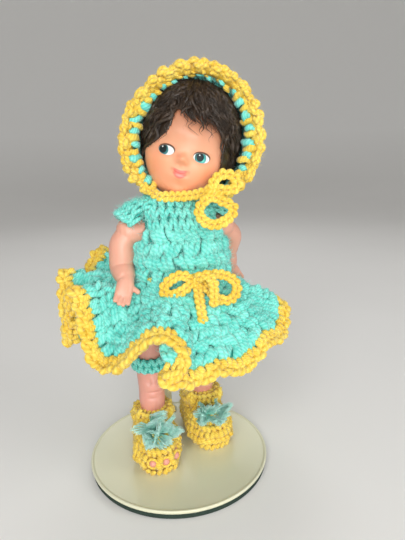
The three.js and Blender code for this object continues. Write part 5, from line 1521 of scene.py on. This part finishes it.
def makeBootie(tag, body, side, stride):
    s, b = legShape, bootShape
    beads = {"pitch": b["pitch"], "size": b["bead"], "spread": 0.12, "tiltDeg": 26}
    centre = doll["at"] + np.array([side * s["centre"], stride, 0.0])
    # The lining under the bootie stitches is the darker yellow copy: painted shade in the gaps.
    base = copyNode(tag + "BootieLining", tag + "_bootie", yellowShade, voxel=0.4, rounds=24, shrink=0.2)
    reshapeBoot(base, centre, tag)
    dress(base, body, "yellow_yarn", tag + "_bootie")

    def hitAt(core, aim):
        hit = base.ray_cast(Vector((core + aim * 30) * mm), Vector(-aim))
        return np.array(hit[1]) / mm if hit[0] else core + aim * 9

    def shoeRound(u, v):
        turn, tilt = turnOf(u), math.radians(v)
        aims = ovalRing(turn, math.cos(tilt), math.cos(tilt), math.sin(tilt))
        cores = centre + ovalRing(turn, 0, 0, 6.0, 0, np.clip(-5.5 + 11 * np.sin(turn), -11.0, 1.5))
        return np.array([hitAt(core, aim) for core, aim in zip(cores, aims)])

    toes = []
    for deg in b["toes"][tag]:
        turn = math.radians(deg)
        aim = np.array([math.sin(turn), -math.cos(turn), 0.0])
        toes.append((hitAt(centre + np.array([0, -11.0, b["toeRise"]]), aim), aim))

    def clearOfToes(at):
        ahead = at[:, 1] < centre[1] - 3  # the upper rounds go over the front only
        good = (at[:, 2] > doll["at"][2] + 0.9) & (ahead | (at[:, 2] < doll["at"][2] + 11))
        for spot, _ in toes:
            good &= np.linalg.norm(at - spot, axis=1) > b["toe"] + 0.75
        return good

    levels = [-36, -18, -2, 13, 27, 40, 53, 66]  # degrees that each round lies above the level
    spots = rowsOn(shoeRound, list(zip(levels[1:], levels[:-1])), keep=clearOfToes, seed=41, **beads)
    half = s["ankle"] + gap + b["cuffTube"]
    cuffRise = float(settled(s["cuff"]))

    def shaft(u, v):
        return np.array([hitAt(centre + np.array([0, 0.2, v]), aim) for aim in ovalRing(turnOf(u), 1, 1, 0)])

    rowsOn(shaft, [(11.4, 9.2), (13.4, 11.2), (15.4, 13.2)], onto=spots, seed=42, **beads)

    def cuff(u, v):
        lean, tube = math.radians(v), b["cuffTube"] * 0.75
        r = (half + tube * math.cos(lean)) * b["narrow"][tag]
        return centre + ovalRing(turnOf(u), r, r, cuffRise + tube * math.sin(lean))

    rowsOn(cuff, [(20, -60), (95, 20), (150, 95)], onto=spots, seed=43, **beads)
    stitches = knit(tag + "BootieStitches", body, yellow, spots, postStitch, uneven=0.14, seed=41)
    addFuzz(tag + "BootieFuzz", stitches, body, yellow, *b["fuzz"], seed=44)
    if toes:
        shell, rings = newShell(), newShell()
        turn = fullTurn(16)[:, None]
        for spot, aim in toes:
            across = np.array([-aim[1], aim[0], 0.0])
            loop = (b["toe"] + 0.5) * (np.cos(turn) * across + np.sin(turn) * np.array([0, 0, 1.0]))
            addCapsule(shell, spot - aim * 4, spot + aim * 0.1, b["toe"], np.asarray, 16)
            addStrand(rings, spot + aim * 0.45 + loop, 0.62, 6, closed=True)
        dress(makePiece(tag + "Toes", shell, legSkin), body, "vinyl")
        dress(makePiece(tag + "ToeHoles", rings, yellowYarn), body, "yellow_yarn")
    rng = np.random.default_rng(45 if side < 0 else 46)
    ahead, rise = b["tuftAt"][tag]
    middle = centre + np.array([-0.5 * b["slip"][tag], ahead, s["sole"] + rise])
    shell = newShell()
    addTuft(shell, middle, middle + np.array([0, 3.0, -1.8]), rng)
    dress(makePiece(tag + "Tuft", shell, aquaTuft), body, "aqua_yarn", tag + "_pompom")


makeBootie("right", "right_leg", -1, legShape["stride"]["right"])
makeBootie("left", "left_leg", 1, legShape["stride"]["left"])
print("booties ready")


# Knickers: a brief on the torso and a band on each leg

knickerShape = {"halfWidth": 17.5, "halfDepth": 13.2, "top": 68.5, "bottom": 57.0, "bandTop": 43.0,
                "bandBottom": 37.0, "band": 6.2}


def makeKnickers():
    k, s = knickerShape, legShape
    # The lining under the knicker stitches is the darker aqua copy: painted shade in the gaps.
    lining = copyNode("knickersLining", "knickers", aquaShade, voxel=0.45, rounds=4, shrink=0.15)
    dress(lining, "torso", "aqua_yarn", "knickers")

    def brief(u, v):
        z = k["bottom"] + (k["top"] - k["bottom"]) * v
        return fromDoll(ovalRing(turnOf(u), k["halfWidth"] - 0.7, k["halfDepth"] - 0.7, z, leanAt(z)))

    spots = rowsOn(brief, [(0.36, 0.04), (0.68, 0.36), (1.0, 0.68)], pitch=3.0, size=(3.1, 5.0), depth=0.6,
                   spread=0.05, seed=51)
    knit("knickersStitches", "torso", aqua, spots, veeStitch, uneven=0.08, seed=51)
    for tag, side in (("right", -1), ("left", 1)):
        body = tag + "_leg"
        stride = s["stride"][tag]
        # Painted shade: the band lining is the darker aqua copy.
        lining = copyNode(tag + "BandLining", tag + "_knicker_leg", aquaShade, voxel=0.35, rounds=4,
                          shrink=0.15)
        dress(lining, body, "aqua_yarn", tag + "_knicker_leg")

        def band(u, v):
            z = k["bandBottom"] + (k["bandTop"] - k["bandBottom"]) * v
            y = stride * (s["hip"] - z) / (s["hip"] - s["cuff"])
            return fromDoll(ovalRing(turnOf(u), k["band"] + 0.7, k["band"] + 1.2, z, side * s["centre"], y))

        spots = rowsOn(band, [(0.5, 0.0), (1.0, 0.5)], pitch=2.9, size=(3.1, 5.0), depth=0.7, spread=0.06,
                       seed=52)
        knit(tag + "BandStitches", body, aqua, spots, veeStitch, uneven=0.08, seed=52)


makeKnickers()
paintNode("back_button", aquaButton)
print("knickers and button ready")
for shape in shapes:
    bpy.data.objects.remove(shape)
